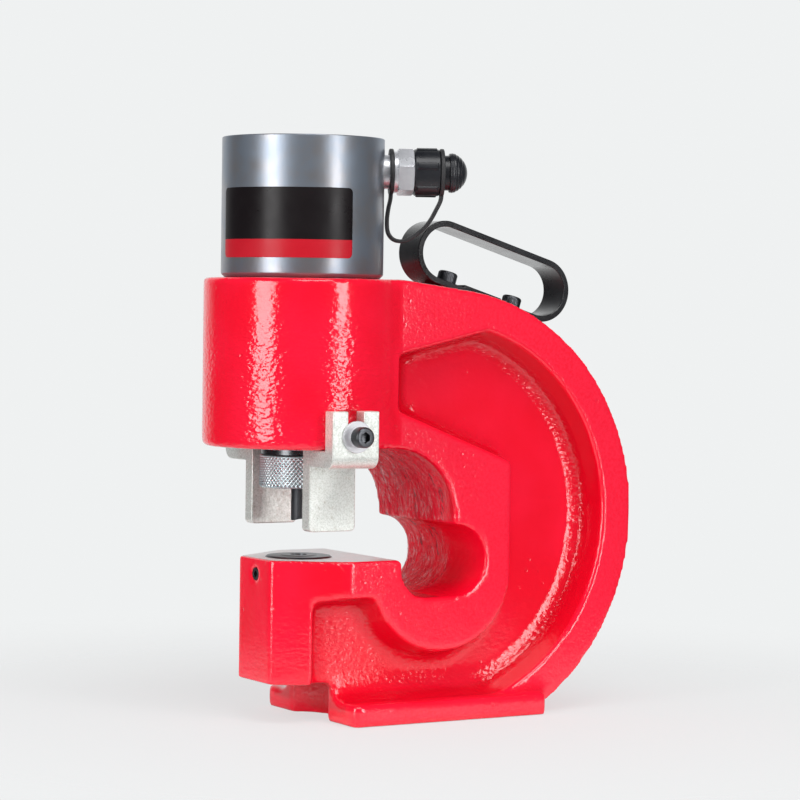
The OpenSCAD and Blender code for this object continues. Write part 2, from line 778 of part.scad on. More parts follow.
// Bores on the punch axis, the stripper flats and their screw holes
module frame_bores() {
    translate([0, 0, seat_z]) cylinder(h = head_h, r = skirt_r + thread_gap);
    translate([0, 0, head_z - over]) cylinder(h = head_floor_h + 2 * over, r = bush_r + thread_gap);
    translate([0, 0, die_z]) cylinder(h = die_h, r = die_r + thread_gap);
    translate([0, 0, -over]) cylinder(h = die_z + 2 * over, r = slug_r);
    translate([0, 0, -over]) cylinder(h = nose_z + over, r = notch_r);
    translate([-nose_x - over, 0, set_screw_z]) rotate([0, 90, 0])
        cylinder(h = nose_x + over, r = screw_r + thread_gap);
    both_sides() translate([-stripper_w / 2 - free_gap, flat_y, head_z - over])
        cube([stripper_w + 2 * free_gap, far, upright_h + over + free_gap]);
    both_sides() translate([0, flat_y + over, stripper_screw_z]) rotate([90, 0, 0])
        cylinder(h = screw_grip + 2 * over, r = screw_r + thread_gap);
}

// Cylinder: closed at the top, open skirt below, port in its side
module cylinder_barrel() {
    color(gunmetal) difference() {
        on_axis() rotate_extrude()
            polygon([[bore_r, seat_z + over], [skirt_r, seat_z + over], [skirt_r, head_top],
                [barrel_r - barrel_foot_chamfer, head_top], [barrel_r, head_top + barrel_foot_chamfer],
                [barrel_r, barrel_top - barrel_top_chamfer], [barrel_r - barrel_top_chamfer, barrel_top],
                [0, barrel_top], [0, chamber_top], [bore_r, chamber_top]]);
        on_coupler() translate([0, 0, spot_x]) cylinder(h = far, r = spot_r);
        on_coupler() translate([0, 0, port_end_x - thread_runout]) cylinder(h = far, r = port_r + thread_gap);
        on_coupler() translate([0, 0, bore_r / 2]) cylinder(h = barrel_r - bore_r / 2, r = oil_r);
    }
}

// Flanged guide bush in the head's floor
module guide_bush() {
    color(bronze) on_axis() difference() {
        union() {
            translate([0, 0, head_z + wiper_h + free_gap])
                cylinder(h = head_floor_h - wiper_h, r = bush_r);
            translate([0, 0, seat_z]) cylinder(h = bush_flange_h, r = bush_r + bush_flange_w);
        }
        translate([0, 0, head_z]) cylinder(h = far, r = rod_r + running_gap);
    }
}

// Wiper ring under the bush
module rod_wiper() {
    color(black_rubber) on_axis() translate([0, 0, head_z]) ring(bush_r, rod_r + free_gap, wiper_h);
}

// Return spring between the bush and the piston
module return_spring() {
    color(bright_steel) on_axis() translate([0, 0, flange_top + free_gap])
        coil(spring_r, spring_wire, spring_turns, piston_z - flange_top - 2 * free_gap);
}

// Piston, rod and threaded end in one piece
module ram() {
    color(bright_steel) on_axis() difference() {
        rotate_extrude()
            polygon([[0, thread_end_z], [thread_r, thread_end_z], [thread_r, nut_top + free_gap],
                [rod_r, nut_top + free_gap], [rod_r, piston_z], [piston_r, piston_z],
                [piston_r, piston_top - piston_chamfer], [piston_r - piston_chamfer, piston_top],
                [0, piston_top]]);
        translate([0, 0, seal_z]) ring(bore_r + over, bore_r - seal_d, seal_h);
        translate([0, 0, guide_ring_z]) ring(bore_r + over, bore_r - guide_ring_d, guide_ring_h);
    }
}

// Pressure seal in the piston's upper groove
module piston_seal() {
    color(seal_blue) on_axis() translate([0, 0, seal_z + thread_gap])
        ring(bore_r - running_gap, bore_r - seal_d + thread_gap, seal_h - 2 * thread_gap);
}

// Wear ring in the piston's lower groove
module piston_guide_ring() {
    color(bronze) on_axis() translate([0, 0, guide_ring_z + thread_gap])
        ring(bore_r - running_gap, bore_r - guide_ring_d + thread_gap, guide_ring_h - 2 * thread_gap);
}

// Ring nut that draws the punch against the ram
module punch_nut() {
    color(zinc) on_axis() rotate_extrude()
        polygon([[punch_neck_r + free_gap, nut_z], [nut_r - nut_chamfer, nut_z], [nut_r, nut_z + nut_chamfer],
            [nut_r, nut_top - nut_chamfer], [nut_r - nut_chamfer, nut_top], [thread_r + running_gap, nut_top],
            [thread_r + running_gap, nut_z + nut_flange_h], [punch_neck_r + free_gap, nut_z + nut_flange_h]]);
}

// Punch with a flanged head and a hollow-ground tip
module punch() {
    tip_z = nut_z - punch_l;
    color(black_oxide) on_axis() difference() {
        rotate_extrude()
            polygon([[0, tip_z], [punch_r, tip_z], [punch_r, nut_z], [punch_neck_r, nut_z],
                [punch_neck_r, nut_z + nut_flange_h], [punch_head_r, nut_z + nut_flange_h],
                [punch_head_r, thread_end_z], [0, thread_end_z]]);
        translate([0, 0, tip_z + punch_hollow_d - punch_hollow_r]) rotate([90, 0, 0])
            cylinder(h = 4 * punch_r, r = punch_hollow_r, center = true);
    }
}

// Die with a cutting land and a wider slug hole below it
module die() {
    hole_r = punch_r + die_gap;
    wide_r = hole_r + die_relief;
    color(black_oxide) on_axis() rotate_extrude()
        polygon([[hole_r, die_top], [die_r - die_chamfer, die_top], [die_r, die_top - die_chamfer],
            [die_r, die_z], [wide_r, die_z], [wide_r, die_top - die_land - die_relief],
            [hole_r, die_top - die_land]]);
}

// Set screw that locks the die
module die_set_screw() {
    color(black_oxide) on_axis() translate([-set_screw_end, 0, set_screw_z]) rotate([0, -90, 0])
        difference() {
            cylinder(h = set_screw_l, r = screw_r);
            translate([0, 0, set_screw_l - socket_d]) hexagon(set_socket_af, socket_d + over);
        }
}

// Section of a stripper bracket: x out from the punch axis, y up
module stripper_section() {
    translate([flat_y, head_z]) square([upright_t, upright_h]);
    difference() {
        translate([leg_y, ledge_z]) square([upright_y - leg_y, ledge_h]);
        translate([upright_y - ledge_bend_r, ledge_z]) difference() {
            square(ledge_bend_r + over);
            translate([0, ledge_bend_r]) circle(r = ledge_bend_r);
            translate([0, ledge_bend_r]) square(ledge_bend_r + over);
        }
    }
    translate([leg_y, leg_z]) square([leg_t, ledge_z - leg_z]);
}

// Stripper bracket on the far side
module stripper_bracket() {
    half = stripper_w / 2;
    color(zinc) on_axis() difference() {
        intersection() {
            rotate([90, 0, 90]) linear_extrude(stripper_w, center = true) stripper_section();
            rotate([90, 0, 0]) linear_extrude(far, center = true) {
                translate([-half, leg_z + leg_corner_r]) square([stripper_w, far]);
                translate([-half + leg_corner_r, leg_z]) square([stripper_w - 2 * leg_corner_r, far]);
                for (x = [-1, 1] * (half - leg_corner_r))
                    translate([x, leg_z + leg_corner_r]) circle(r = leg_corner_r);
            }
        }
        translate([0, flat_y - over, stripper_screw_z]) rotate([-90, 0, 0])
            cylinder(h = upright_t + 2 * over, d = stripper_slot_w);
        translate([-stripper_slot_w / 2, flat_y - over, stripper_screw_z])
            cube([stripper_slot_w, upright_t + 2 * over, upright_h]);
    }
}

module stripper_near() {
    mirror([0, 1, 0]) stripper_bracket();
}

module stripper_far() {
    stripper_bracket();
}

// Puts children, drawn standing up, on both stripper screws' axes at a distance from the punch axis
module on_stripper_screws(y) {
    both_sides() on_axis() translate([0, y, stripper_screw_z]) rotate([-90, 0, 0]) children();
}

module stripper_washers() {
    color(zinc) on_stripper_screws(upright_y) ring(washer_r, screw_r + free_gap, washer_t);
}

// Split spring washers
module stripper_spring_washers() {
    color(bright_steel) on_stripper_screws(upright_y + washer_t) difference() {
        ring(screw_head_r, screw_r + free_gap, spring_washer_t);
        translate([0, -spring_washer_split / 2, -over])
            cube([screw_head_r + over, spring_washer_split, spring_washer_t + 2 * over]);
    }
}

module stripper_screws() {
    grip = stripper_head_y - flat_y + screw_grip;
    color(black_oxide) on_stripper_screws(stripper_head_y) socket_screw(grip);
}

// Coupler nipple: thread, neck, collar, chamfered hexagon and threaded nose, bored for the valve
module coupler_body() {
    hex_r = hex_af / 2 / cos(30);
    color(zinc) on_coupler() difference() {
        union() {
            translate([0, 0, port_end_x]) cylinder(h = neck_x - port_end_x + over, r = port_r);
            translate([0, 0, neck_x]) cylinder(h = coupler_neck_l + over, r = coupler_neck_r);
            translate([0, 0, collar_x]) cylinder(h = coupler_collar_l + over, r = coupler_collar_r);
            translate([0, 0, hex_x]) intersection() {
                rotate([0, 0, hex_turn]) hexagon(hex_af, hex_l);
                rotate_extrude()
                    polygon([[0, 0], [hex_r - hex_chamfer, 0], [hex_r, hex_chamfer / 2],
                        [hex_r, hex_l - hex_chamfer / 2], [hex_r - hex_chamfer, hex_l], [0, hex_l]]);
            }
            translate([0, 0, hex_x + over]) cylinder(h = nose_end_x - hex_x - over, r = coupler_nose_r);
        }
        translate([0, 0, port_end_x - over]) cylinder(h = far, r = oil_r);
        translate([0, 0, valve_start_x]) cylinder(h = valve_l, r = valve_r);
        translate([0, 0, valve_end_x - over]) cylinder(h = far, r = poppet_pin_r + free_gap);
    }
}

// Sealing washer between the coupler and the cylinder's spot face
module coupler_seal() {
    color(zinc) on_coupler() translate([0, 0, spot_x])
        ring(coupler_neck_r, port_r + free_gap, coupler_seal_t);
}

// Check valve that the mating coupler pushes open
module coupler_poppet() {
    color(bright_steel) on_coupler() {
        translate([0, 0, poppet_x]) cylinder(h = poppet_l, r = valve_r - free_gap);
        translate([0, 0, poppet_x]) cylinder(h = poppet_l + poppet_pin_l, r = poppet_pin_r);
    }
}

// Spring behind the check valve
module poppet_spring() {
    room = poppet_x - valve_start_x - 2 * thread_gap;
    color(bright_steel) on_coupler() translate([0, 0, valve_start_x + thread_gap])
        coil(valve_r - free_gap - valve_wire / 2, valve_wire, valve_turns, room);
}

// Screwed dust cap with grip bars, a waist for the leash and a domed knob
module dust_cap() {
    bar_root = cap_r - cap_bar_h;
    color(black_rubber) on_coupler() difference() {
        union() {
            translate([0, 0, cap_x]) cylinder(h = cap_l, r = bar_root);
            for (i = [0 : cap_bars - 1]) rotate([0, 0, 360 * i / cap_bars + cap_bar_turn])
                translate([bar_root - over, -cap_bar_w / 2, cap_x + cap_bar_inset])
                cube([cap_bar_h + over, cap_bar_w, cap_l - 2 * cap_bar_inset]);
            translate([0, 0, cap_x]) cylinder(h = cap_l + cap_neck_l + over, r = cap_neck_r);
            intersection() {
                translate([0, 0, knob_centre_x]) sphere(r = knob_dome_r);
                translate([0, 0, knob_x]) cylinder(h = knob_l + over, r = knob_r);
            }
        }
        translate([0, 0, cap_x - over])
            cylinder(h = nose_end_x - cap_x + over + thread_runout, r = coupler_nose_r + thread_gap);
    }
}

// Leash: a ring on the coupler's neck, a ring on the cap's waist and the strap between them
module cap_leash() {
    route = smooth_route(strap_route, strap_steps);
    sections = [
        for (i = [0 : len(route) - 1])
            let (run = route[min(i + 1, len(route) - 1)] - route[max(i - 1, 0)])
            let (across = [-run.y, run.x] / norm(run))
            each [for (c = [[-1, -1], [1, -1], [1, 1], [-1, 1]])
                [route[i].x + across.x * c.y * strap_t / 2, c.x * strap_w / 2,
                    strap_low_z + route[i].y + across.y * c.y * strap_t / 2]]
    ];
    color(black_rubber) {
        on_coupler() translate([0, 0, leash_x]) ring(leash_ring_r, coupler_neck_r + free_gap, leash_ring_t);
        on_coupler() translate([0, 0, cap_ring_x]) ring(cap_ring_r, cap_neck_r + free_gap, leash_ring_t);
        on_axis() rotate([0, 0, -coupler_turn]) polyhedron(sections, tube_faces(len(route), 4));
    }
}

// Long round-ended loop, drawn along x with the front bend's centre on the origin
module loop_outline(r) {
    circle(r = r);
    translate([handle_l, 0]) circle(r = r);
    translate([0, -r]) square([handle_l, 2 * r]);
}

// Carrying handle: a bent strip whose ends lap on the pad
module handle() {
    color(black_oxide) on_handle() difference() {
        rotate([90, 0, 0]) linear_extrude(strip_w, center = true) {
            difference() {
                loop_outline(handle_r);
                loop_outline(handle_in_r);
            }
            translate([lap_x, -handle_in_r - bite]) square([lap_l, lap_t + bite]);
        }
        for (x = [0, handle_screw_gap])
            translate([handle_screw_x + x, 0, -handle_r - over])
                cylinder(h = strip_t + 2 * over, r = screw_r + free_gap);
    }
}

module handle_screws() {
    color(black_oxide) on_handle() for (x = [0, handle_screw_gap])
        translate([handle_screw_x + x, 0, -handle_in_r]) socket_screw(strip_t + screw_grip);
}

echo(return_spring_least_gap = coil_gap(
    coil_points(spring_r, spring_wire, spring_turns, piston_z - flange_top - 2 * free_gap), spring_wire));
echo(poppet_spring_least_gap = coil_gap(
    coil_points(valve_r - free_gap - valve_wire / 2, valve_wire, valve_turns,
        poppet_x - valve_start_x - 2 * thread_gap), valve_wire));

c_frame();
cylinder_barrel();
guide_bush();
rod_wiper();
return_spring();
ram();
piston_seal();
piston_guide_ring();
punch_nut();
punch();
die();
die_set_screw();
stripper_near();
stripper_far();
stripper_washers();
stripper_spring_washers();
stripper_screws();
coupler_body();
coupler_seal();
coupler_poppet();
poppet_spring();
dust_cap();
cap_leash();
handle();
handle_screws();
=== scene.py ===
"""Hydraulic hole punch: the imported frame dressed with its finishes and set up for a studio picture."""
import json
import math

import bmesh
import bpy
import numpy as np
from mathutils import Matrix, Vector


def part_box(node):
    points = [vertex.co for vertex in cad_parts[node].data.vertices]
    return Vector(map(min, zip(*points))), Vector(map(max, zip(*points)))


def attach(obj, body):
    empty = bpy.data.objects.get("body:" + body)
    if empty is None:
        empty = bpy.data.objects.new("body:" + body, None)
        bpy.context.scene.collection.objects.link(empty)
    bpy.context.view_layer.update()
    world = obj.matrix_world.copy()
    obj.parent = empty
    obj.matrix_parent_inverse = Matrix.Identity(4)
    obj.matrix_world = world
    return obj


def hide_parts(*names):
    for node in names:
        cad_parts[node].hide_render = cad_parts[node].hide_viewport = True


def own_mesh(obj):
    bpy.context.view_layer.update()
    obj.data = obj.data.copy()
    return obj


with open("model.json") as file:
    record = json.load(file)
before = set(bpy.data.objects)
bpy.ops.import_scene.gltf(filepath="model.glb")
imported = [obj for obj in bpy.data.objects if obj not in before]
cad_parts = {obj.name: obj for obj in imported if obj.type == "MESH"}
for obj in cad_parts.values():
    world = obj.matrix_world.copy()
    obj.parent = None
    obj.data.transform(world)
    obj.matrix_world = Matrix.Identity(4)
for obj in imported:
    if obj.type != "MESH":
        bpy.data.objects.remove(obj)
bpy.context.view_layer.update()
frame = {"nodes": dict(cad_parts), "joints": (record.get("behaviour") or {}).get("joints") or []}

MM = 0.001
UP = np.array([0.0, 0.0, 1.0])

# Places read from the frame

barrel_low, barrel_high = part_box("cylinder_barrel")
nut_low, nut_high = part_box("punch_nut")
die_low, die_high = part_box("die")
cast_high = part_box("c_frame")[1]
bracket_low, bracket_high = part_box("stripper_far")
bush_low, bush_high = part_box("guide_bush")
spring_low, spring_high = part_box("return_spring")
screw_low, screw_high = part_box("stripper_screws")
joints = {joint["name"]: joint for joint in frame["joints"]}

AXIS_X = (barrel_low.x + barrel_high.x) / 2
BARREL_R = (barrel_high.x - barrel_low.x) / 2
BARREL_TOP = barrel_high.z
HEAD_TOP = cast_high.z
HEAD_BOTTOM = bush_low.z - 4.3 * MM
DIE_R = (die_high.x - die_low.x) / 2
ANVIL_TOP = die_high.z - 1.2 * MM
NUT_R = (nut_high.x - nut_low.x) / 2

# Coupler directions: along its axis and level across it; distances along it start at the punch axis
coupler_dir = np.array(joints["dust_cap_turn"]["axis"], float)
coupler_across = np.cross(UP, coupler_dir)
coupler_foot = np.array([AXIS_X, 0.0, joints["dust_cap_turn"]["pos_m"][2]])


# Surfaces

def grid_faces(rows, cols, wrap_rows=False, wrap_cols=False):
    """Quads over a rows by cols grid of points, joined end to start where a direction wraps."""
    a, b = np.meshgrid(np.arange(rows if wrap_rows else rows - 1),
                       np.arange(cols if wrap_cols else cols - 1), indexing="ij")

    def at(i, j):
        return (i % rows) * cols + j % cols

    return np.stack([at(a, b), at(a + 1, b), at(a + 1, b + 1), at(a, b + 1)], -1).reshape(-1, 4)


def clean_mesh(name, points, faces, closed=True):
    """Mesh with doubled points merged; a closed one has its ends filled and its faces turned outwards."""
    mesh = bpy.data.meshes.new(name)
    mesh.from_pydata(points.reshape(-1, 3), [], faces)
    bm = bmesh.new()
    bm.from_mesh(mesh)
    bmesh.ops.remove_doubles(bm, verts=bm.verts, dist=1e-6)
    if closed:
        bmesh.ops.holes_fill(bm, edges=[e for e in bm.edges if e.is_boundary])
        bmesh.ops.recalc_face_normals(bm, faces=bm.faces)
    bm.to_mesh(mesh)
    bm.free()
    return mesh


def shaded(name, mesh, sharp):
    """Object in the scene from a mesh, shaded smooth apart from edges steeper than sharp degrees."""
    mesh.polygons.foreach_set("use_smooth", np.ones(len(mesh.polygons), bool))
    mesh.set_sharp_from_angle(angle=math.radians(sharp))
    obj = bpy.data.objects.new(name, mesh)
    bpy.context.scene.collection.objects.link(obj)
    return obj


def surface(name, *grids, sharp=35):
    """One object from grids of points that wrap in their first direction, and in their second if told."""
    points, faces, start = [], [], 0
    for grid, wrap_cols in grids:
        rows, cols = grid.shape[:2]
        points.append(grid.reshape(-1, 3))
        faces.append(grid_faces(rows, cols, True, wrap_cols) + start)
        start += rows * cols
    return shaded(name, clean_mesh(name, np.concatenate(points), np.concatenate(faces)), sharp)


def soft_outline(corners, radius, steps=4):
    """Closed outline with every corner swapped for a short quadratic curve of about that radius."""
    corners = np.asarray(corners, float)
    before = np.roll(corners, 1, 0) - corners
    after = np.roll(corners, -1, 0) - corners
    len_before = np.linalg.norm(before, axis=1, keepdims=True)
    len_after = np.linalg.norm(after, axis=1, keepdims=True)
    cut = np.minimum(np.minimum(radius, len_before / 2.2), len_after / 2.2)
    start = corners + before / len_before * cut
    end = corners + after / len_after * cut
    t = np.linspace(0, 1, steps)[None, :, None]
    curve = (1 - t) ** 2 * start[:, None] + 2 * t * (1 - t) * corners[:, None] + t ** 2 * end[:, None]
    return curve.reshape(-1, 2)


def round_angles(segments):
    """Evenly spaced angles of a full turn, as a column."""
    return np.linspace(0, 2 * np.pi, segments, endpoint=False)[:, None]


def turned(r, h, angle):
    """Points at radius r and height h for every angle about the Z axis."""
    r, h = np.broadcast_arrays(r + 0 * angle, h + 0 * angle)
    return np.stack([r * np.cos(angle), r * np.sin(angle), h], -1)


def lathe(outline, segments=160):
    """Closed outline of (radius, height) carried round the Z axis."""
    return turned(outline[None, :, 0], outline[None, :, 1], round_angles(segments))


def on_axis(points):
    """Points drawn about the Z axis, moved onto the punch axis."""
    return points + np.array([AXIS_X, 0.0, 0.0])


def on_coupler(points):
    """Points drawn about the Z axis, laid along the coupler; height is the distance from the punch axis."""
    across, up, along = points[..., :1], points[..., 1:2], points[..., 2:]
    return coupler_foot + across * coupler_across + up * UP + along * coupler_dir


def placed(points, foot, axis):
    """Points drawn about the Z axis, moved to a foot point and turned to stand along an axis."""
    turn = np.array(Vector(UP).rotation_difference(Vector(axis)).to_matrix())
    return points @ turn.T + np.asarray(foot, float)


def smooth_path(points, steps):
    """Curve through points: each stretch is a cubic set by its two ends and their neighbours."""
    points = np.asarray(points, float)
    ends = np.concatenate([points[:1], points, points[-1:]])
    a, b, c, d = ends[:-3, None], ends[1:-2, None], ends[2:-1, None], ends[3:, None]
    t = np.linspace(0, 1, steps, endpoint=False)[None, :, None]
    bend = 2 * a - 5 * b + 4 * c - d
    twist = 3 * b - a - 3 * c + d
    curve = 0.5 * (2 * b + (c - a) * t + bend * t ** 2 + twist * t ** 3)
    return np.concatenate([curve.reshape(-1, points.shape[1]), points[-1:]])


def copy_of(node, name):
    """Merged copy of a node's mesh, with flat faces made whole again."""
    mesh = frame["nodes"][node].data.copy()
    mesh.name = name
    mesh.materials.clear()
    bm = bmesh.new()
    bm.from_mesh(mesh)
    bmesh.ops.remove_doubles(bm, verts=bm.verts, dist=1e-6)
    bmesh.ops.dissolve_limit(bm, angle_limit=math.radians(0.6), verts=bm.verts, edges=bm.edges)
    bm.to_mesh(mesh)
    bm.free()
    return mesh


def broken_edges(node, name, width, sharp=40):
    """Copy of a node with its sharp edges broken by a small round."""
    obj = shaded(name, copy_of(node, name), sharp)
    bevel = obj.modifiers.new("edge break", "BEVEL")
    bevel.width = width
    bevel.segments = 3
    bevel.limit_method = "ANGLE"
    bevel.angle_limit = math.radians(sharp)
    return obj


def with_modifiers(obj):
    """Mesh of an object with its modifiers applied."""
    return bpy.data.meshes.new_from_object(obj.evaluated_get(bpy.context.evaluated_depsgraph_get()))


def cut_by(blank, tools):
    """Mesh of a blank with the tools' solids taken away; blank and tools leave the scene."""
    for tool in tools:
        cut = blank.modifiers.new("cut", "BOOLEAN")
        cut.operation = "DIFFERENCE"
        cut.solver = "MANIFOLD"
        cut.object = tool
    mesh = with_modifiers(blank)
    for obj in [blank, *tools]:
        bpy.data.objects.remove(obj)
    return mesh


def rod_tool(r, start, end):
    """Closed round cutter from one point to another."""
    run = np.asarray(end, float) - np.asarray(start, float)
    length = np.linalg.norm(run)
    outline = np.array([[0, 0], [r, 0], [r, length], [0, length]])
    return surface("rod_tool", (placed(lathe(outline, 96), start, run), False))


def box_tool(low, high):
    """Closed box cutter between two corners."""
    ring = np.array([[low[0], low[1]], [high[0], low[1]], [high[0], high[1]], [low[0], high[1]]])
    levels = np.broadcast_to(np.array([low[2], high[2]])[None, :, None], (4, 2, 1))
    return surface("box_tool", (np.concatenate([np.repeat(ring[:, None], 2, 1), levels], -1), False))


def dress(obj, body, slot, material, *nodes):
    """The piece gets its finish, rides on a body and stands for its nodes."""
    obj.data.materials.clear()
    obj.data.materials.append(material)
    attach(obj, body)
    if nodes:
        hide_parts(*nodes)
    return obj


# Shader parts

def effect_group(name, outputs):
    """Empty shader node group with a Coarseness input and the named outputs."""
    group = bpy.data.node_groups.new(name, "ShaderNodeTree")
    size = group.interface.new_socket("Coarseness", in_out="INPUT", socket_type="NodeSocketFloat")
    size.default_value = 1.0
    for label in outputs:
        group.interface.new_socket(label, in_out="OUTPUT", socket_type="NodeSocketFloat")
    return group, group.nodes.new("NodeGroupInput"), group.nodes.new("NodeGroupOutput")


def put(tree, kind, links=None, **settings):
    """New node with settings as attributes or input values, and links from other sockets into its inputs."""
    node = tree.nodes.new(kind)
    for key, value in settings.items():
        if hasattr(node, key):
            setattr(node, key, value)
        else:
            node.inputs[key.replace("_", " ").title()].default_value = value
    for key, socket in (links or {}).items():
        tree.links.new(socket, node.inputs[key])
    return node


def calc(tree, operation, *values):
    """Output of a Math node on sockets or numbers."""
    node = tree.nodes.new("ShaderNodeMath")
    node.operation = operation
    for i, value in enumerate(values):
        if isinstance(value, (int, float)):
            node.inputs[i].default_value = value
        else:
            tree.links.new(value, node.inputs[i])
    return node.outputs[0]


def chain(tree, operation, values):
    """One Math operation carried through several sockets or numbers."""
    total = values[0]
    for value in values[1:]:
        total = calc(tree, operation, total, value)
    return total


def product(tree, *values):
    """Product of sockets or numbers."""
    return chain(tree, "MULTIPLY", values)


def largest(tree, *values):
    """Largest of sockets or numbers."""
    return chain(tree, "MAXIMUM", values)


def remap(tree, value, low, high, to_low=0.0, to_high=1.0):
    """Value moved from one range to another, smoothly and clamped."""
    node = put(tree, "ShaderNodeMapRange", {"Value": value}, interpolation_type="SMOOTHSTEP")
    for key, number in (("From Min", low), ("From Max", high), ("To Min", to_low), ("To Max", to_high)):
        node.inputs[key].default_value = number
    return node.outputs["Result"]


def noise(tree, vector, scale, detail=2.0, roughness=0.5, distortion=0.0):
    """Noise from 0 to 1 on a vector."""
    node = put(tree, "ShaderNodeTexNoise", {"Vector": vector}, scale=scale, detail=detail,
               roughness=roughness, distortion=distortion)
    return node.outputs["Fac"]


def cells(tree, vector, scale, feature="F1"):
    """Distance to the nearest cell centre of a scattered pattern."""
    node = put(tree, "ShaderNodeTexVoronoi", {"Vector": vector}, feature=feature, scale=scale)
    return node.outputs["Distance"]


def object_coords(tree):
    """Place on the piece in metres."""
    return tree.nodes.new("ShaderNodeTexCoord").outputs["Object"]


def stretched(tree, vector, scale):
    """Coordinates scaled by a different amount along each axis."""
    node = put(tree, "ShaderNodeMapping", {"Vector": vector})
    node.inputs["Scale"].default_value = scale
    return node.outputs[0]


def scaled_coords(tree, ins):
    """Object coordinates times the group's Coarseness."""
    return put(tree, "ShaderNodeVectorMath", {0: object_coords(tree), 3: ins.outputs["Coarseness"]},
               operation="SCALE").outputs[0]


def make_cast_skin():
    """Sand casting under paint: sagging wrinkles of the film, sand grit, sparse pits and slow patches."""
    group, ins, outs = effect_group("cast skin", ["Wrinkles", "Grit", "Pits", "Patches"])
    place = scaled_coords(group, ins)
    sag = stretched(group, place, (1.0, 1.0, 1.7))
    wrinkles = calc(group, "ADD", product(group, noise(group, sag, 210.0, 2.0, 0.5), 0.7),
                    product(group, cells(group, sag, 300.0, "SMOOTH_F1"), 0.4))
    pits = remap(group, cells(group, place, 150.0), 0.10, 0.24, 1.0, 0.0)
    pits = product(group, pits, remap(group, noise(group, place, 40.0, 1.0), 0.52, 0.64))
    group.links.new(wrinkles, outs.inputs["Wrinkles"])
    group.links.new(noise(group, place, 480.0, 3.0, 0.6), outs.inputs["Grit"])
    group.links.new(pits, outs.inputs["Pits"])
    group.links.new(noise(group, place, 16.0, 3.0), outs.inputs["Patches"])
    return group


def make_handling_marks():
    """Smudges and rubbed specks on metal and plastic: a slow field, a fast grain and a speck mask."""
    group, ins, outs = effect_group("handling marks", ["Smudge", "Grain", "Specks"])
    place = scaled_coords(group, ins)
    group.links.new(noise(group, place, 45.0, 4.0, 0.6), outs.inputs["Smudge"])
    group.links.new(noise(group, place, 1400.0, 2.0, 0.6), outs.inputs["Grain"])
    specks = remap(group, cells(group, place, 420.0), 0.08, 0.16, 1.0, 0.0)
    thin = remap(group, noise(group, place, 60.0, 2.0), 0.52, 0.66)
    group.links.new(product(group, specks, thin), outs.inputs["Specks"])
    return group


CAST_SKIN = make_cast_skin()
HANDLING = make_handling_marks()


def place_group(tree, group, coarseness=1.0):
    """Outputs of an effect group placed in a material."""
    node = tree.nodes.new("ShaderNodeGroup")
    node.node_tree = group
    node.inputs["Coarseness"].default_value = coarseness
    return node.outputs


def blend_colours(tree, amount, low, high):
    """Colour that runs from low to high with a mask; either may be a colour or a socket."""
    node = put(tree, "ShaderNodeMix", data_type="RGBA")
    tree.links.new(amount, node.inputs[0])
    for index, value in ((6, low), (7, high)):
        if isinstance(value, tuple):
            node.inputs[index].default_value = (*value, 1.0)
        else:
            tree.links.new(value, node.inputs[index])
    return node.outputs[2]


def new_finish(name, **shader):
    """Material with a Principled shader; constant values are set on its own sockets."""
    material = bpy.data.materials.new(name)
    material.use_nodes = True
    tree = material.node_tree
    bsdf = tree.nodes["Principled BSDF"]
    for key, value in shader.items():
        bsdf.inputs[key.replace("_", " ")].default_value = value
    return material, tree, bsdf


def bump(tree, bsdf, height, distance):
    """Height field as relief on the shader's surface and on its coat."""
    node = put(tree, "ShaderNodeBump", {"Height": height})
    node.inputs["Distance"].default_value = distance
    for socket in ("Normal", "Coat Normal"):
        tree.links.new(node.outputs["Normal"], bsdf.inputs[socket])


RED = (0.92, 0.0025, 0.023)
# Darker red for the pocket walls, hollows and pits is painted shade
RED_PAINTED_SHADE = (0.66, 0.0010, 0.012)
RED_THIN = (0.97, 0.006, 0.036)
# Paler pink for the raised side faces is painted sheen: the soft box's glow on them laid into the colour
RED_PAINTED_SHEEN = (0.95, 0.017, 0.052)
RED_THROAT = (0.95, 0.006, 0.040)
RED_CRACK = (0.12, 0.002, 0.010)

# Zones of the casting in X and Z: round throat and lower slot with their radii, the rough corner under the
# anvil and the middle of the rim
THROAT, THROAT_R = (-39.0 * MM, 130.0 * MM), 45 * MM
SLOT, SLOT_R = (6.6 * MM, 102.5 * MM), 23 * MM
ROUGH_CORNER = (-62 * MM, 48 * MM)
RIM_CENTRE = (-3 * MM, 130.5 * MM)
FULL_GLOSS = 0.95


def distance_from(tree, split, axes, place):
    """Distance from a point in the plane of two named axes."""
    a, b = (calc(tree, "SUBTRACT", split[axis], value) for axis, value in zip(axes, place))
    return calc(tree, "SQRT", calc(tree, "ADD", product(tree, a, a), product(tree, b, b)))


def near(tree, split, axes, place, inside, outside):
    """Mask around a point in the plane of two axes: 1 within one distance of it, 0 past another."""
    return remap(tree, distance_from(tree, split, axes, place), inside, outside, 1.0, 0.0)


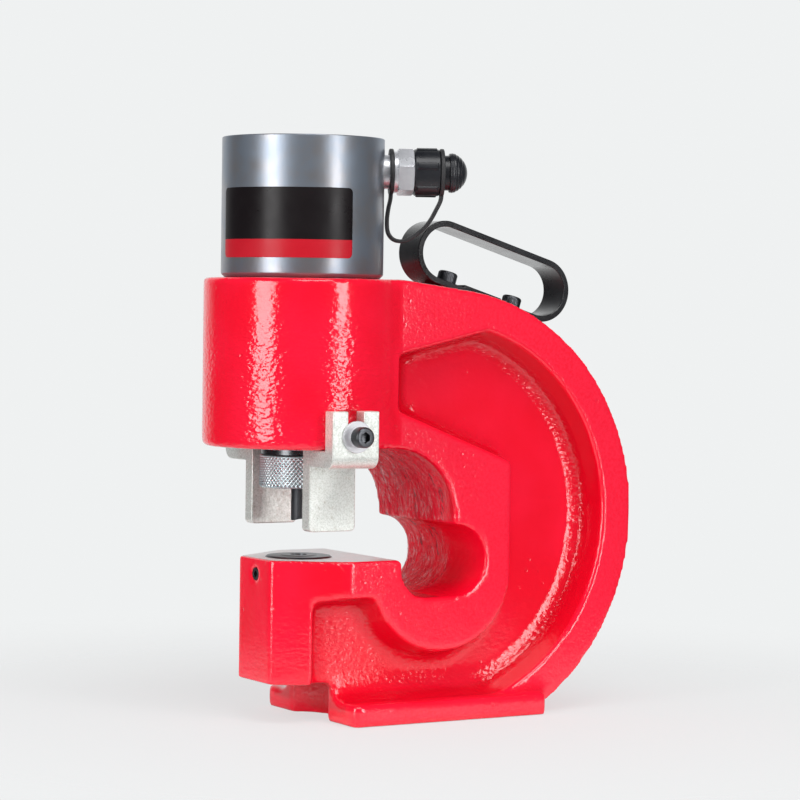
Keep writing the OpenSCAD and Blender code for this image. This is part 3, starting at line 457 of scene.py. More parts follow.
def enamel_zones(tree, place):
    """Masks of the casting's zones, from place, facing and the crest attribute."""
    split = put(tree, "ShaderNodeSeparateXYZ", {"Vector": place}).outputs
    normal = tree.nodes.new("ShaderNodeNewGeometry").outputs["Normal"]
    facing = put(tree, "ShaderNodeSeparateXYZ", {"Vector": normal}).outputs
    face_y = calc(tree, "ABSOLUTE", facing["Y"])
    out_y = calc(tree, "ABSOLUTE", split["Y"])
    within = remap(tree, out_y, 46 * MM, 49 * MM, 1.0, 0.0)
    crest = put(tree, "ShaderNodeAttribute", attribute_name="crest").outputs["Fac"]
    head = product(tree, near(tree, split, "XY", (AXIS_X, 0), 66 * MM, 69 * MM),
                   remap(tree, split["Z"], HEAD_BOTTOM - 4 * MM, HEAD_BOTTOM))
    throat = product(tree, within, near(tree, split, "XZ", THROAT, THROAT_R + 1 * MM, THROAT_R + 3 * MM),
                     remap(tree, split["Y"], -47 * MM, -30 * MM, 0.3, 1.0))
    slot = product(tree, within, near(tree, split, "XZ", SLOT, SLOT_R + 1 * MM, SLOT_R + 3 * MM))
    rough_slot = product(tree, slot, remap(tree, split["Y"], -14 * MM, 2 * MM, 0.1, 0.9))
    return {
        "z": split["Z"],
        "crest": crest,
        "head": head,
        "raised": product(tree, remap(tree, out_y, 44 * MM, 48 * MM), remap(tree, face_y, 0.92, 0.99),
                          calc(tree, "SUBTRACT", 1.0, head)),
        "throat": largest(tree, throat, rough_slot),
        "slot": slot,
        "smooth_slot": product(tree, slot, remap(tree, split["Y"], -14 * MM, 2 * MM, 1.0, 0.1)),
        "corner": product(tree, near(tree, split, "XZ", ROUGH_CORNER, 25 * MM, 50 * MM),
                          remap(tree, out_y, 40 * MM, 44 * MM, 1.0, 0.0)),
        # pocket walls under the rim, darkened in the colour as painted shade
        "wall": product(tree, remap(tree, face_y, 0.55, 0.92, 1.0, 0.0), within,
                        near(tree, split, "XZ", RIM_CENTRE, 138 * MM, 142 * MM),
                        remap(tree, split["X"], AXIS_X - 20 * MM, AXIS_X - 15 * MM)),
        "hollow": remap(tree, crest, 0.48, 0.25),
    }


def enamel_colour(tree, skin, lines, zones):
    """Reds laid over each other: painted sheen on the raised faces, painted shade on the pocket walls, in
    hollows and in pits, paler on crests, and the throat's own with its cracks.
    """
    crest, throat = zones["crest"], zones["throat"]
    layers = [
        # painted sheen on the raised faces
        (product(tree, zones["raised"], remap(tree, skin["Grit"], 0.35, 0.60, 0.4, 1.0)), RED_PAINTED_SHEEN),
        # painted shade on the pocket walls, in creased hollows and in pits
        (product(tree, zones["wall"], remap(tree, zones["slot"], 0.0, 1.0, 0.85, 0.25)), RED_PAINTED_SHADE),
        (remap(tree, crest, 0.5, 0.05, 0.0, 0.8), RED_PAINTED_SHADE),
        (remap(tree, crest, 0.65, 0.98, 0.0, 0.5), RED_THIN),
        (product(tree, skin["Pits"], 0.2), RED_PAINTED_SHADE),
        (throat, RED_THROAT),
        (product(tree, throat, remap(tree, lines, 0.34, 0.42, 0.8, 0.0)), RED_CRACK),
    ]
    colour = blend_colours(tree, remap(tree, skin["Patches"], 0.35, 0.65), RED, RED_THIN)
    for amount, red in layers:
        colour = blend_colours(tree, amount, colour, red)
    return colour


def enamel_gloss(tree, place, zones):
    """Coat weight: full, in streaks in the throat, low where the slot is smooth and in sharp hollows."""
    streaks = noise(tree, stretched(tree, place, (110.0, 240.0, 110.0)), 1.0, 4.0, 0.6, 1.6)
    loss = calc(tree, "SUBTRACT", FULL_GLOSS, remap(tree, streaks, 0.46, 0.62, 0.10, 1.0))
    gloss = calc(tree, "SUBTRACT", FULL_GLOSS, product(tree, zones["throat"], loss))
    return product(tree, gloss, remap(tree, zones["smooth_slot"], 0.0, 1.0, 1.0, 0.06),
                   remap(tree, zones["crest"], 0.05, 0.18, 0.15, 1.0))


def enamel_relief(tree, skin, lines, zones):
    """Height of the film: wrinkles on the head, in hollows and the corner, then grit, pits and lines."""
    corner, hollow = zones["corner"], zones["hollow"]
    sag = remap(tree, zones["z"], HEAD_TOP - 55 * MM, HEAD_TOP - 12 * MM, 1.0, 0.45)
    sag = largest(tree, product(tree, zones["head"], sag), hollow, product(tree, corner, 0.5), 0.18)
    patch = remap(tree, skin["Patches"], 0.40, 0.60, 0.65, 1.0)
    grit = largest(tree, product(tree, corner, 0.30), product(tree, zones["raised"], 0.17),
                   product(tree, hollow, 0.25), 0.10)
    height = product(tree, skin["Wrinkles"], sag, patch)
    height = calc(tree, "ADD", height, product(tree, skin["Grit"], grit))
    height = calc(tree, "SUBTRACT", height, product(tree, skin["Pits"], 0.12))
    return calc(tree, "ADD", height, product(tree, lines, zones["throat"], 3.6))


def red_enamel():
    """Gloss enamel over the cast skin, with colour, gloss and relief set for each zone of the casting; the
    colour holds painted shade and painted sheen.
    """
    material, tree, bsdf = new_finish("red enamel", Coat_Roughness=0.10, Coat_IOR=1.7,
                                      Specular_IOR_Level=0.03)
    skin = place_group(tree, CAST_SKIN)
    place = object_coords(tree)
    zones = enamel_zones(tree, place)
    lines = noise(tree, stretched(tree, place, (50.0, 130.0, 50.0)), 1.0, 5.0, 0.68, 1.1)
    tree.links.new(enamel_colour(tree, skin, lines, zones), bsdf.inputs["Base Color"])
    tree.links.new(remap(tree, skin["Patches"], 0.3, 0.7, 0.36, 0.50), bsdf.inputs["Roughness"])
    tree.links.new(enamel_gloss(tree, place, zones), bsdf.inputs["Coat Weight"])
    bump(tree, bsdf, enamel_relief(tree, skin, lines, zones), 0.85 * MM)
    return material


def metal(name, low, high, rough, grain, streak=None, specks=None, share=0.5, metallic=1.0):
    """Bare metal: two tones mixed by smudges, uneven roughness, and grain or lines along the streak."""
    material, tree, bsdf = new_finish(name, Metallic=metallic)
    marks = place_group(tree, HANDLING)
    colour = blend_colours(tree, remap(tree, marks["Smudge"], 0.35, 0.65), low, high)
    if specks:
        colour = blend_colours(tree, product(tree, marks["Specks"], share), colour, specks)
    height = marks["Grain"]
    if streak:
        height = noise(tree, stretched(tree, object_coords(tree), streak), 1.0, 3.0, 0.6)
    tree.links.new(colour, bsdf.inputs["Base Color"])
    tree.links.new(remap(tree, marks["Smudge"], 0.3, 0.7, rough[0], rough[1]), bsdf.inputs["Roughness"])
    bump(tree, bsdf, height, grain)
    return material


def sanded_zinc():
    """Plated bracket over a blasted surface: pale, with small brown-grey blotches in two sizes."""
    material, tree, bsdf = new_finish("sanded zinc", Metallic=0.62)
    place = object_coords(tree)
    sand = noise(tree, place, 900.0, 3.0, 0.7)
    blotch = noise(tree, place, 330.0, 3.0, 0.65)
    colour = blend_colours(tree, remap(tree, sand, 0.36, 0.62), (0.72, 0.75, 0.70), (0.94, 0.97, 0.93))
    colour = blend_colours(tree, remap(tree, blotch, 0.58, 0.74, 0.0, 0.6), colour, (0.50, 0.48, 0.40))
    tree.links.new(colour, bsdf.inputs["Base Color"])
    tree.links.new(remap(tree, blotch, 0.3, 0.7, 0.36, 0.54), bsdf.inputs["Roughness"])
    bump(tree, bsdf, sand, 0.05 * MM)
    return material


def coated(name, low, high, rough, grain, dust_share=0.25, **shader):
    """Black paint, plastic or rubber: two near tones, fine grain and pale dust specks."""
    material, tree, bsdf = new_finish(name, **shader)
    marks = place_group(tree, HANDLING)
    colour = blend_colours(tree, remap(tree, marks["Smudge"], 0.35, 0.65), low, high)
    colour = blend_colours(tree, product(tree, marks["Specks"], dust_share), colour, (0.30, 0.30, 0.30))
    tree.links.new(colour, bsdf.inputs["Base Color"])
    tree.links.new(remap(tree, marks["Smudge"], 0.3, 0.7, rough[0], rough[1]), bsdf.inputs["Roughness"])
    bump(tree, bsdf, marks["Grain"], grain)
    return material


def label_film(strip_top):
    """Gloss label film: black field with a red strip along its lower edge, both bare."""
    material, tree, bsdf = new_finish("label film", Specular_IOR_Level=0.22)
    marks = place_group(tree, HANDLING, 0.8)
    split = put(tree, "ShaderNodeSeparateXYZ", {"Vector": object_coords(tree)}).outputs
    above = remap(tree, split["Z"], strip_top - 0.1 * MM, strip_top + 0.1 * MM)
    black = blend_colours(tree, marks["Smudge"], (0.006, 0.004, 0.005), (0.012, 0.009, 0.010))
    red = blend_colours(tree, marks["Smudge"], (0.46, 0.006, 0.016), (0.56, 0.010, 0.024))
    tree.links.new(blend_colours(tree, above, red, black), bsdf.inputs["Base Color"])
    tree.links.new(remap(tree, marks["Smudge"], 0.3, 0.7, 0.26, 0.38), bsdf.inputs["Roughness"])
    bump(tree, bsdf, marks["Grain"], 0.004 * MM)
    return material


RED_ENAMEL = red_enamel()
SANDED_ZINC = sanded_zinc()
GUNMETAL = metal("turned gunmetal", (0.34, 0.34, 0.36), (0.30, 0.345, 0.41), (0.30, 0.38), 0.006 * MM,
                 streak=(40.0, 40.0, 2600.0), specks=(0.30, 0.32, 0.34), share=0.35, metallic=0.75)
BRIGHT_ZINC = metal("bright zinc", (0.74, 0.75, 0.79), (0.86, 0.87, 0.90), (0.24, 0.34), 0.01 * MM,
                    metallic=0.55)
KNURL_ZINC = metal("knurled zinc", (0.58, 0.68, 0.71), (0.70, 0.80, 0.83), (0.24, 0.32), 0.01 * MM,
                   metallic=0.9)
DULL_ZINC = metal("dull zinc", (0.64, 0.64, 0.67), (0.76, 0.76, 0.79), (0.34, 0.46), 0.012 * MM, metallic=0.6)
# Bare steel grey with a faint pink tint; the tint is painted reflection of the red casting
MACHINED = metal("machined face", (0.72, 0.69, 0.69), (0.86, 0.83, 0.83), (0.30, 0.42), 0.010 * MM,
                 streak=(60.0, 1800.0, 60.0), metallic=0.7)
BLACK_OXIDE = metal("black oxide", (0.095, 0.099, 0.108), (0.140, 0.145, 0.156), (0.30, 0.42), 0.02 * MM,
                    specks=(0.20, 0.20, 0.21), share=0.4)
# Dark steel on the ram is painted shade for the rod in the shadowed gap between head and nut
RAM_STEEL_PAINTED_SHADE = metal("ram steel with painted shade", (0.10, 0.105, 0.11), (0.15, 0.155, 0.165), (0.20, 0.30), 0.006 * MM,
                  streak=(60.0, 60.0, 2200.0))
SPRING_STEEL = metal("spring wire", (0.22, 0.22, 0.23), (0.30, 0.30, 0.32), (0.30, 0.42), 0.01 * MM)
BRONZE = metal("turned bronze", (0.50, 0.33, 0.14), (0.62, 0.43, 0.20), (0.28, 0.40), 0.008 * MM)
BLACK_PAINT = coated("black handle paint", (0.008, 0.0085, 0.010), (0.015, 0.016, 0.019), (0.24, 0.36),
                     0.05 * MM, Coat_Weight=0.7, Coat_Roughness=0.12)
BLACK_PLASTIC = coated("moulded black plastic", (0.010, 0.011, 0.014), (0.019, 0.020, 0.024), (0.24, 0.36),
                       0.03 * MM)
BLACK_RUBBER = coated("moulded black rubber", (0.018, 0.018, 0.020), (0.034, 0.034, 0.036), (0.42, 0.56),
                      0.05 * MM)
SEAL_COMPOUND = coated("seal compound", (0.030, 0.060, 0.090), (0.045, 0.080, 0.110), (0.42, 0.55),
                       0.03 * MM)

# Casting: soft raw form, then machined faces and bores

VOXEL = 1.85 * MM
SOFTEN_TURNS = 7
FILLET_TURNS = 14
LUMP_DEPTH = 0.15 * MM
ANVIL_SKIM = 0.3 * MM
ANVIL_LENGTH = 46.5 * MM
HEAD_BORE_R = 46.1 * MM
BUSH_BORE_R = 31.1 * MM
DIE_SEAT_R = DIE_R + 0.1 * MM
SLUG_HOLE_R = 13 * MM
SCREW_HOLE_R = 4.1 * MM
HEAD_PLUG_R = 48 * MM
DIE_PLUG_R = DIE_R + 4 * MM
DIE_PLUG_FOOT = 26 * MM


def vector_array(collection, key):
    """Three floats per item of a mesh's collection, as an array."""
    flat = np.empty(len(collection) * 3, np.float32)
    collection.foreach_get(key, flat)
    return flat.reshape(-1, 3).astype(float)


def lattice_noise(points, cell, seed):
    """Smooth noise from 0 to 1: seeded values on a cubic lattice, blended between corners by smoothstep."""
    table = np.random.default_rng(seed).random((64, 64, 64))
    base = np.floor(points / cell).astype(int)
    f = points / cell - base
    f = f * f * (3 - 2 * f)
    value = np.zeros(len(points))
    for corner in np.ndindex(2, 2, 2):
        weight = np.prod(np.where(corner, f, 1 - f), axis=1)
        index = (base + corner) % 64
        value += weight * table[index[:, 0], index[:, 1], index[:, 2]]
    return value


def neighbour_mean(mesh):
    """Function that gives each point of a mesh the mean of its neighbours' values."""
    count = len(mesh.vertices)
    edges = np.empty(len(mesh.edges) * 2, np.int32)
    mesh.edges.foreach_get("vertices", edges)
    here, there = edges, edges.reshape(-1, 2)[:, ::-1].ravel()
    degree = np.maximum(np.bincount(here, minlength=count), 1)

    def mean(values):
        columns = [np.bincount(here, values[there, k], count) / degree for k in range(values.shape[1])]
        return np.stack(columns, -1)

    return mean


def standing_out(mesh, mean):
    """How far each point stands out of its neighbours' middle along its normal; below zero in hollows."""
    co = vector_array(mesh.vertices, "co")
    return np.einsum("ij,ij->i", co - mean(co), vector_array(mesh.vertex_normals, "vector"))[:, None]


def fill_hollows(mesh, turns):
    """Inner corners off the head grown to fillets: hollow points move to their neighbours' middle."""
    mean = neighbour_mean(mesh)
    start = vector_array(mesh.vertices, "co")
    off_head = (np.hypot(start[:, 0] - AXIS_X, start[:, 1]) > 72 * MM) | (start[:, 2] < HEAD_BOTTOM - 5 * MM)
    for _ in range(turns):
        out = np.minimum(standing_out(mesh, mean), 0) * off_head[:, None]
        co = vector_array(mesh.vertices, "co") - 0.9 * out * vector_array(mesh.vertex_normals, "vector")
        mesh.vertices.foreach_set("co", co.astype(np.float32).ravel())
        mesh.update()


def crest_values(mesh, reach=0.12 * MM):
    """Standing out as a value: 0 in hollows, 0.5 on flats, 1 on crests."""
    mean = neighbour_mean(mesh)
    out = standing_out(mesh, mean)
    for _ in range(2):
        out = 0.5 * out + 0.5 * mean(out)
    return np.clip(0.5 + 0.5 * out / reach, 0, 1).ravel()


def machining_tools():
    """Cutters for the bores, die seat, slug hole, screw holes, bracket flats and anvil face."""
    x = AXIS_X
    set_z = ANVIL_TOP - 10.3 * MM
    screw_z = (screw_low.z + screw_high.z) / 2
    flat_y = bracket_high.y - 10.4 * MM
    flat_top = bracket_high.z + 0.2 * MM
    half = (bracket_high.x - bracket_low.x) / 2 + 0.3 * MM
    tools = [
        rod_tool(HEAD_BORE_R, (x, 0, bush_high.z - 6 * MM), (x, 0, HEAD_TOP + 5 * MM)),
        rod_tool(BUSH_BORE_R, (x, 0, HEAD_BOTTOM - 3 * MM), (x, 0, bush_high.z)),
        rod_tool(DIE_SEAT_R, (x, 0, die_low.z), (x, 0, ANVIL_TOP + 9 * MM)),
        rod_tool(SLUG_HOLE_R, (x, 0, 15 * MM), (x, 0, die_low.z + 1 * MM)),
        rod_tool(SCREW_HOLE_R, (x - 40 * MM, 0, set_z), (x, 0, set_z)),
        box_tool((x - 60 * MM, -70 * MM, ANVIL_TOP - ANVIL_SKIM),
                 (x + ANVIL_LENGTH, 70 * MM, ANVIL_TOP + 8 * MM)),
    ]
    for side in (-1, 1):
        tools.append(rod_tool(SCREW_HOLE_R, (x, side * 46.4 * MM, screw_z), (x, side * 70 * MM, screw_z)))
        near_y, far_y = sorted((side * flat_y, side * 90 * MM))
        tools.append(box_tool((x - half, near_y, HEAD_BOTTOM - 1 * MM), (x + half, far_y, flat_top)))
    return tools


def casting():
    """The frame as cast and machined: welded copy, bores plugged, voxel skin, softened, lumped, then cut."""
    mesh = copy_of("c_frame", "casting raw")
    bm = bmesh.new()
    bm.from_mesh(mesh)
    plugs = [(HEAD_PLUG_R, HEAD_BOTTOM + 0.5 * MM, HEAD_TOP), (DIE_PLUG_R, DIE_PLUG_FOOT, ANVIL_TOP)]
    for r, low, high in plugs:
        bmesh.ops.create_cone(bm, cap_ends=True, segments=64, radius1=r, radius2=r, depth=high - low,
                              matrix=Matrix.Translation((AXIS_X, 0, (low + high) / 2)))
    bm.to_mesh(mesh)
    bm.free()
    raw = shaded("casting_raw", mesh, 40)
    skin = raw.modifiers.new("skin", "REMESH")
    skin.mode = "VOXEL"
    skin.voxel_size = VOXEL
    soften = raw.modifiers.new("soften", "SMOOTH")
    soften.factor = 0.5
    soften.iterations = SOFTEN_TURNS
    soft = with_modifiers(raw)
    bpy.data.objects.remove(raw)

    fill_hollows(soft, FILLET_TURNS)
    co = vector_array(soft.vertices, "co")
    normal = vector_array(soft.vertex_normals, "vector")
    lumps = 0.7 * lattice_noise(co, 12 * MM, 3) + 0.3 * lattice_noise(co, 6 * MM, 8)
    co = co - normal * (lumps * LUMP_DEPTH)[:, None]
    soft.vertices.foreach_set("co", co.astype(np.float32).ravel())
    crest = soft.attributes.new("crest", "FLOAT", "POINT")
    crest.data.foreach_set("value", crest_values(soft).astype(np.float32))
    return shaded("casting", cut_by(shaded("casting_blank", soft, 40), machining_tools()), 40)


def paint_casting(obj):
    """Red enamel all over, bare metal on the anvil face and in the bores."""
    mesh = obj.data
    mesh.materials.clear()
    mesh.materials.append(RED_ENAMEL)
    mesh.materials.append(MACHINED)
    centre = vector_array(mesh.polygons, "center")
    normal = vector_array(mesh.polygons, "normal")
    r = np.hypot(centre[:, 0] - AXIS_X, centre[:, 1])
    z = centre[:, 2]
    anvil = (np.abs(z - (ANVIL_TOP - ANVIL_SKIM)) < 0.02 * MM) & (normal[:, 2] > 0.99)
    head_bore = (r < HEAD_BORE_R + 0.2 * MM) & (z > HEAD_BOTTOM + 1 * MM)
    die_bore = (r < DIE_SEAT_R + 0.1 * MM) & (z > DIE_PLUG_FOOT + 1 * MM) & (z < ANVIL_TOP)
    mesh.polygons.foreach_set("material_index", (anvil | head_bore | die_bore).astype(np.int32))


cast = dress(casting(), "frame", "red_paint", RED_ENAMEL, "c_frame")
paint_casting(cast)

# Cylinder with its label

SPOT_R = 11.6 * MM
PORT_R = 8.1 * MM
OIL_R = 2.5 * MM


def barrel():
    """Turned cylinder: outline carried round the punch axis, spot-faced and drilled for the coupler."""
    skirt, bore, end_wall, foot = 46 * MM, 40 * MM, 15 * MM, 2.5 * MM
    bore_top = BARREL_TOP - end_wall
    outline = soft_outline([
        [bore, barrel_low.z], [skirt, barrel_low.z], [skirt, HEAD_TOP], [BARREL_R - foot, HEAD_TOP],
        [BARREL_R, HEAD_TOP + foot], [BARREL_R, BARREL_TOP], [20 * MM, BARREL_TOP], [0, BARREL_TOP],
        [0, bore_top], [20 * MM, bore_top], [bore, bore_top]], 0.8 * MM, 5)
    blank = surface("barrel_blank", (on_axis(lathe(np.maximum(outline, 0), 256)), True))
    spot = math.sqrt(BARREL_R ** 2 - SPOT_R ** 2) - 0.2 * MM
    tools = []
    for r, start in ((SPOT_R, spot), (PORT_R, spot - 7.5 * MM), (OIL_R, 20 * MM)):
        ends = on_coupler(np.array([[0, 0, start], [0, 0, 80 * MM]]))
        tools.append(rod_tool(r, ends[0], ends[1]))
    return shaded("turned_barrel", cut_by(blank, tools), 35)


LABEL_Z = (295 * MM, 339 * MM)
LABEL_STRIP_TOP = 306.5 * MM
LABEL_WIDTH = 96.7 * MM
LABEL_ANGLE = math.radians(225)
LABEL_CORNER = 3.2 * MM
LABEL_FILM = 0.2 * MM


def label():
    """Film on the cylinder by angle and height, its width drawn in near the ends for round corners."""
    z = np.linspace(LABEL_Z[0], LABEL_Z[1], 121)
    into = np.maximum(0, LABEL_CORNER - np.minimum(z - LABEL_Z[0], LABEL_Z[1] - z))
    half = LABEL_WIDTH / 2 - LABEL_CORNER + np.sqrt(np.maximum(0, LABEL_CORNER ** 2 - into ** 2))
    across = np.linspace(-1, 1, 97)[:, None] * half[None, :]
    r = BARREL_R + 0.12 * MM
    angle = LABEL_ANGLE + across / r
    points = np.stack([AXIS_X + r * np.cos(angle), r * np.sin(angle), np.broadcast_to(z, angle.shape)], -1)
    obj = shaded("label", clean_mesh("label", points, grid_faces(*angle.shape), False), 60)
    film = obj.modifiers.new("film", "SOLIDIFY")
    film.thickness = LABEL_FILM
    film.offset = -1
    return obj


dress(barrel(), "frame", "gunmetal_steel", GUNMETAL, "cylinder_barrel")
dress(label(), "frame", "black_plastic", label_film(LABEL_STRIP_TOP))

# Nut, punch and die

KNURL_COUNT = 62
KNURL_DEPTH = 0.8 * MM
KNURL_ROWS = 96


def knurled_nut():
    """Nut wall as a grid of angle and height, cut by two crossing sets of V grooves, with a stepped bore."""
    angle = round_angles(KNURL_COUNT * 8)
    t = np.linspace(0, 1, KNURL_ROWS)[None, :]
    tall = nut_high.z - nut_low.z
    pitch = 2 * np.pi * NUT_R / KNURL_COUNT
    turns = angle * KNURL_COUNT / (2 * np.pi)
    rise = t * tall / pitch * 0.85
    groove = [np.abs(2 * (phase % 1) - 1) for phase in (turns + rise, turns - rise)]
    rim = np.minimum(t, 1 - t) * tall
    cut = KNURL_DEPTH * np.maximum(*groove) * (rim > 1 * MM)
    outer = NUT_R - cut - np.maximum(0, 1 * MM - rim)
    hole, thread, flange = 11.2 * MM, 21.05 * MM, 6 * MM
    step = nut_low.z + flange
    inner_r = np.broadcast_to([thread, thread, hole, hole], (len(angle), 4))
    inner_h = np.broadcast_to([nut_high.z, step, step, nut_low.z], (len(angle), 4))
    r = np.concatenate([outer, inner_r], 1)
    h = np.concatenate([np.broadcast_to(nut_low.z + t * tall, outer.shape), inner_h], 1)
    return surface("knurled_nut", (on_axis(turned(r, h, angle)), True), sharp=55)


def die_ring():
    """Die: closed outline with a broken rim and a stepped slug hole, carried round the punch axis."""
    hole, wide, top = 5.4 * MM, 7.9 * MM, die_high.z
    outline = soft_outline([
        [hole, top], [11 * MM, top], [12 * MM, top - 0.5 * MM], [DIE_R - 1.3 * MM, top - 0.5 * MM],
        [DIE_R, top - 1.5 * MM], [DIE_R, die_low.z], [wide, die_low.z], [wide, top - 12.5 * MM],
        [hole, top - 10 * MM]], 0.25 * MM, 3)
    return surface("die_ring", (on_axis(lathe(outline, 128)), True))


dress(knurled_nut(), "punch_nut_body", "zinc_steel", KNURL_ZINC, "punch_nut")
dress(die_ring(), "frame", "black_steel", BLACK_OXIDE, "die")
dress(broken_edges("punch", "ground_punch", 0.2 * MM), "ram", "black_steel", BLACK_OXIDE, "punch")

# Brackets, washers and screws

SCREW_HEAD_R = 6.5 * MM
SCREW_HEAD_H = 8 * MM
SHANK_R = 4 * MM
SOCKET_AF = 6 * MM
SOCKET_DEPTH = 4 * MM
RIDGES = 40


def socket_screw(foot, axis, grip):
    """Screw by angle and outline: shank, ridged head, broken rim and a hexagonal socket."""
    angle = round_angles(RIDGES * 6)
    flat = (angle + np.pi / 6) % (np.pi / 3) - np.pi / 6
    socket = SOCKET_AF / 2 / np.cos(flat)
    side = SCREW_HEAD_R - 0.16 * MM * (0.5 - 0.5 * np.cos(RIDGES * angle))
    rim = SCREW_HEAD_R - 0.2 * MM
    top = SCREW_HEAD_H
    rows = [(0, -grip), (SHANK_R - 0.8 * MM, -grip), (SHANK_R, 0.8 * MM - grip), (SHANK_R, 0), (rim, 0),
            (side, 0.5 * MM), (side, top - 1.1 * MM), (rim, top - 0.9 * MM), (rim - 0.1 * MM, top - 0.5 * MM),
            (rim - 0.7 * MM, top - 0.05 * MM), (rim - 1.1 * MM, top), (socket + 0.25 * MM, top),
            (socket, top - 0.25 * MM), (socket, top - SOCKET_DEPTH), (0, top - SOCKET_DEPTH - 0.8 * MM)]
    r = np.concatenate([row[0] + 0 * angle for row in rows], 1)
    h = np.concatenate([row[1] + 0 * angle for row in rows], 1)
    return placed(turned(r, h, angle), foot, axis), False


def bracket_screws():
    """The two screws that clamp the brackets to the head, one on each side."""
    z = (screw_low.z + screw_high.z) / 2
    seat = screw_high.y - SCREW_HEAD_H
    grip = seat - 47.4 * MM
    grids = [socket_screw((AXIS_X, side * seat, z), (0, side, 0), grip) for side in (-1, 1)]
    return surface("bracket_screws", *grids, sharp=40)


HANDLE_SLOPE = math.radians(17)
HANDLE_SCREW_GAP = 52.8 * MM
HANDLE_SCREW_GRIP = 19 * MM


def grip_screws():
    """The two screws that hold the handle to its pad, square to the handle's slope."""
    low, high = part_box("handle_screws")
    across, along = math.sin(HANDLE_SLOPE), math.cos(HANDLE_SLOPE)
    front = np.array([low.x + SHANK_R * along + HANDLE_SCREW_GRIP * across, 0,
                      high.z - SCREW_HEAD_R * across - SCREW_HEAD_H * along])
    back = front + HANDLE_SCREW_GAP * np.array([along, 0, -across])
    grids = [socket_screw(seat, (across, 0, along), HANDLE_SCREW_GRIP) for seat in (front, back)]
    return surface("grip_screws", *grids, sharp=40)


for side in ("near", "far"):
    bracket = broken_edges(f"stripper_{side}", f"bracket_{side}", 0.7 * MM)
    dress(bracket, f"stripper_{side}_body", "zinc_steel", SANDED_ZINC, f"stripper_{side}")
dress(broken_edges("stripper_washers", "plain_washers", 0.25 * MM), "frame", "zinc_steel", DULL_ZINC,
      "stripper_washers")
dress(broken_edges("stripper_spring_washers", "split_washers", 0.25 * MM), "frame", "bright_steel", DULL_ZINC,
      "stripper_spring_washers")
dress(bracket_screws(), "frame", "black_steel", BLACK_OXIDE, "stripper_screws")
dress(grip_screws(), "frame", "black_steel", BLACK_OXIDE, "handle_screws")
dress(broken_edges("die_set_screw", "set_screw", 0.2 * MM), "frame", "black_steel", BLACK_OXIDE,
      "die_set_screw")

# Coupler, cap and leash

CAP_START, CAP_END, NOSE_END = 70.8 * MM, 87.2 * MM, 85.0 * MM
CAP_R, CAP_BORE_R, CAP_NECK_R = 14.9 * MM, 10.6 * MM, 11.2 * MM
BAR_HEIGHT, BAR_COUNT, BAR_WIDTH, BAR_TURN = 1 * MM, 6, 4 * MM, math.radians(46)
KNOB_START, KNOB_END = 93.6 * MM, 105.4 * MM
KNOB_R, DOME_R, KNOB_PITCH = 12.7 * MM, 13.5 * MM, 1.9 * MM


def screw_cap():
    """Cap by angle and outline: skirt with raised grip bars, waist, then a ridged knob with a domed end."""
    angle = round_angles(360)
    skirt_h = np.linspace(CAP_START, CAP_END, 60)
    edge = np.minimum(skirt_h - CAP_START, CAP_END - skirt_h)
    skirt_r = CAP_R - np.maximum(0, 0.6 * MM - edge)
    knob_h = np.linspace(KNOB_START, KNOB_END, 100)
    dome = np.sqrt(np.maximum(0, DOME_R ** 2 - np.maximum(0, knob_h - (KNOB_END - DOME_R)) ** 2))
    rings = 0.22 * MM * (0.5 - 0.5 * np.cos(2 * np.pi * (knob_h - KNOB_START) / KNOB_PITCH))
    knob_r = np.minimum(KNOB_R - np.maximum(0, 0.5 * MM - (knob_h - KNOB_START)), dome)
    knob_r = np.maximum(0, knob_r - rings * (knob_h < KNOB_END - KNOB_PITCH))
    h = np.concatenate([[NOSE_END, NOSE_END, CAP_START], skirt_h, [CAP_END, KNOB_START], knob_h])[None, :]
    r = np.concatenate([[0, CAP_BORE_R, CAP_BORE_R], skirt_r, [CAP_NECK_R, CAP_NECK_R], knob_r])[None, :]
    step = 2 * np.pi / BAR_COUNT
    off = np.abs((angle - BAR_TURN + step / 2) % step - step / 2) * CAP_R
    across = np.clip((BAR_WIDTH / 2 + 0.25 * MM - off) / (0.5 * MM), 0, 1)
    along = np.clip(edge / (0.5 * MM) - 2.6, 0, 1)
    bars = np.zeros((len(angle), h.shape[1]))
    bars[:, 3:63] = BAR_HEIGHT * across * along[None, :]
    return surface("screw_cap", (on_coupler(turned(r + bars, h, angle)), False), sharp=30)


# Leash rings as start along the coupler, outer and inner radius; strap route in shares of its span and drop
LEASH_RINGS = ((55.0 * MM, 15.0 * MM, 11.3 * MM), (87.5 * MM, 15.4 * MM, 11.5 * MM))
RING_T = 2.6 * MM
STRAP_W, STRAP_T, STRAP_DROP = 8 * MM, 2.4 * MM, 44.2 * MM
STRAP_START, STRAP_SPAN = 56.3 * MM, 32.5 * MM
STRAP_SHARES = [[0, 0.724], [-0.006, 0.611], [-0.043, 0.475], [-0.07, 0.305], [-0.052, 0.136], [0.037, 0.036],
                [0.175, 0], [0.329, 0.02], [0.498, 0.095], [0.668, 0.195], [0.797, 0.317], [0.895, 0.45],
                [0.975, 0.57], [1, 0.645], [1, 0.724]]


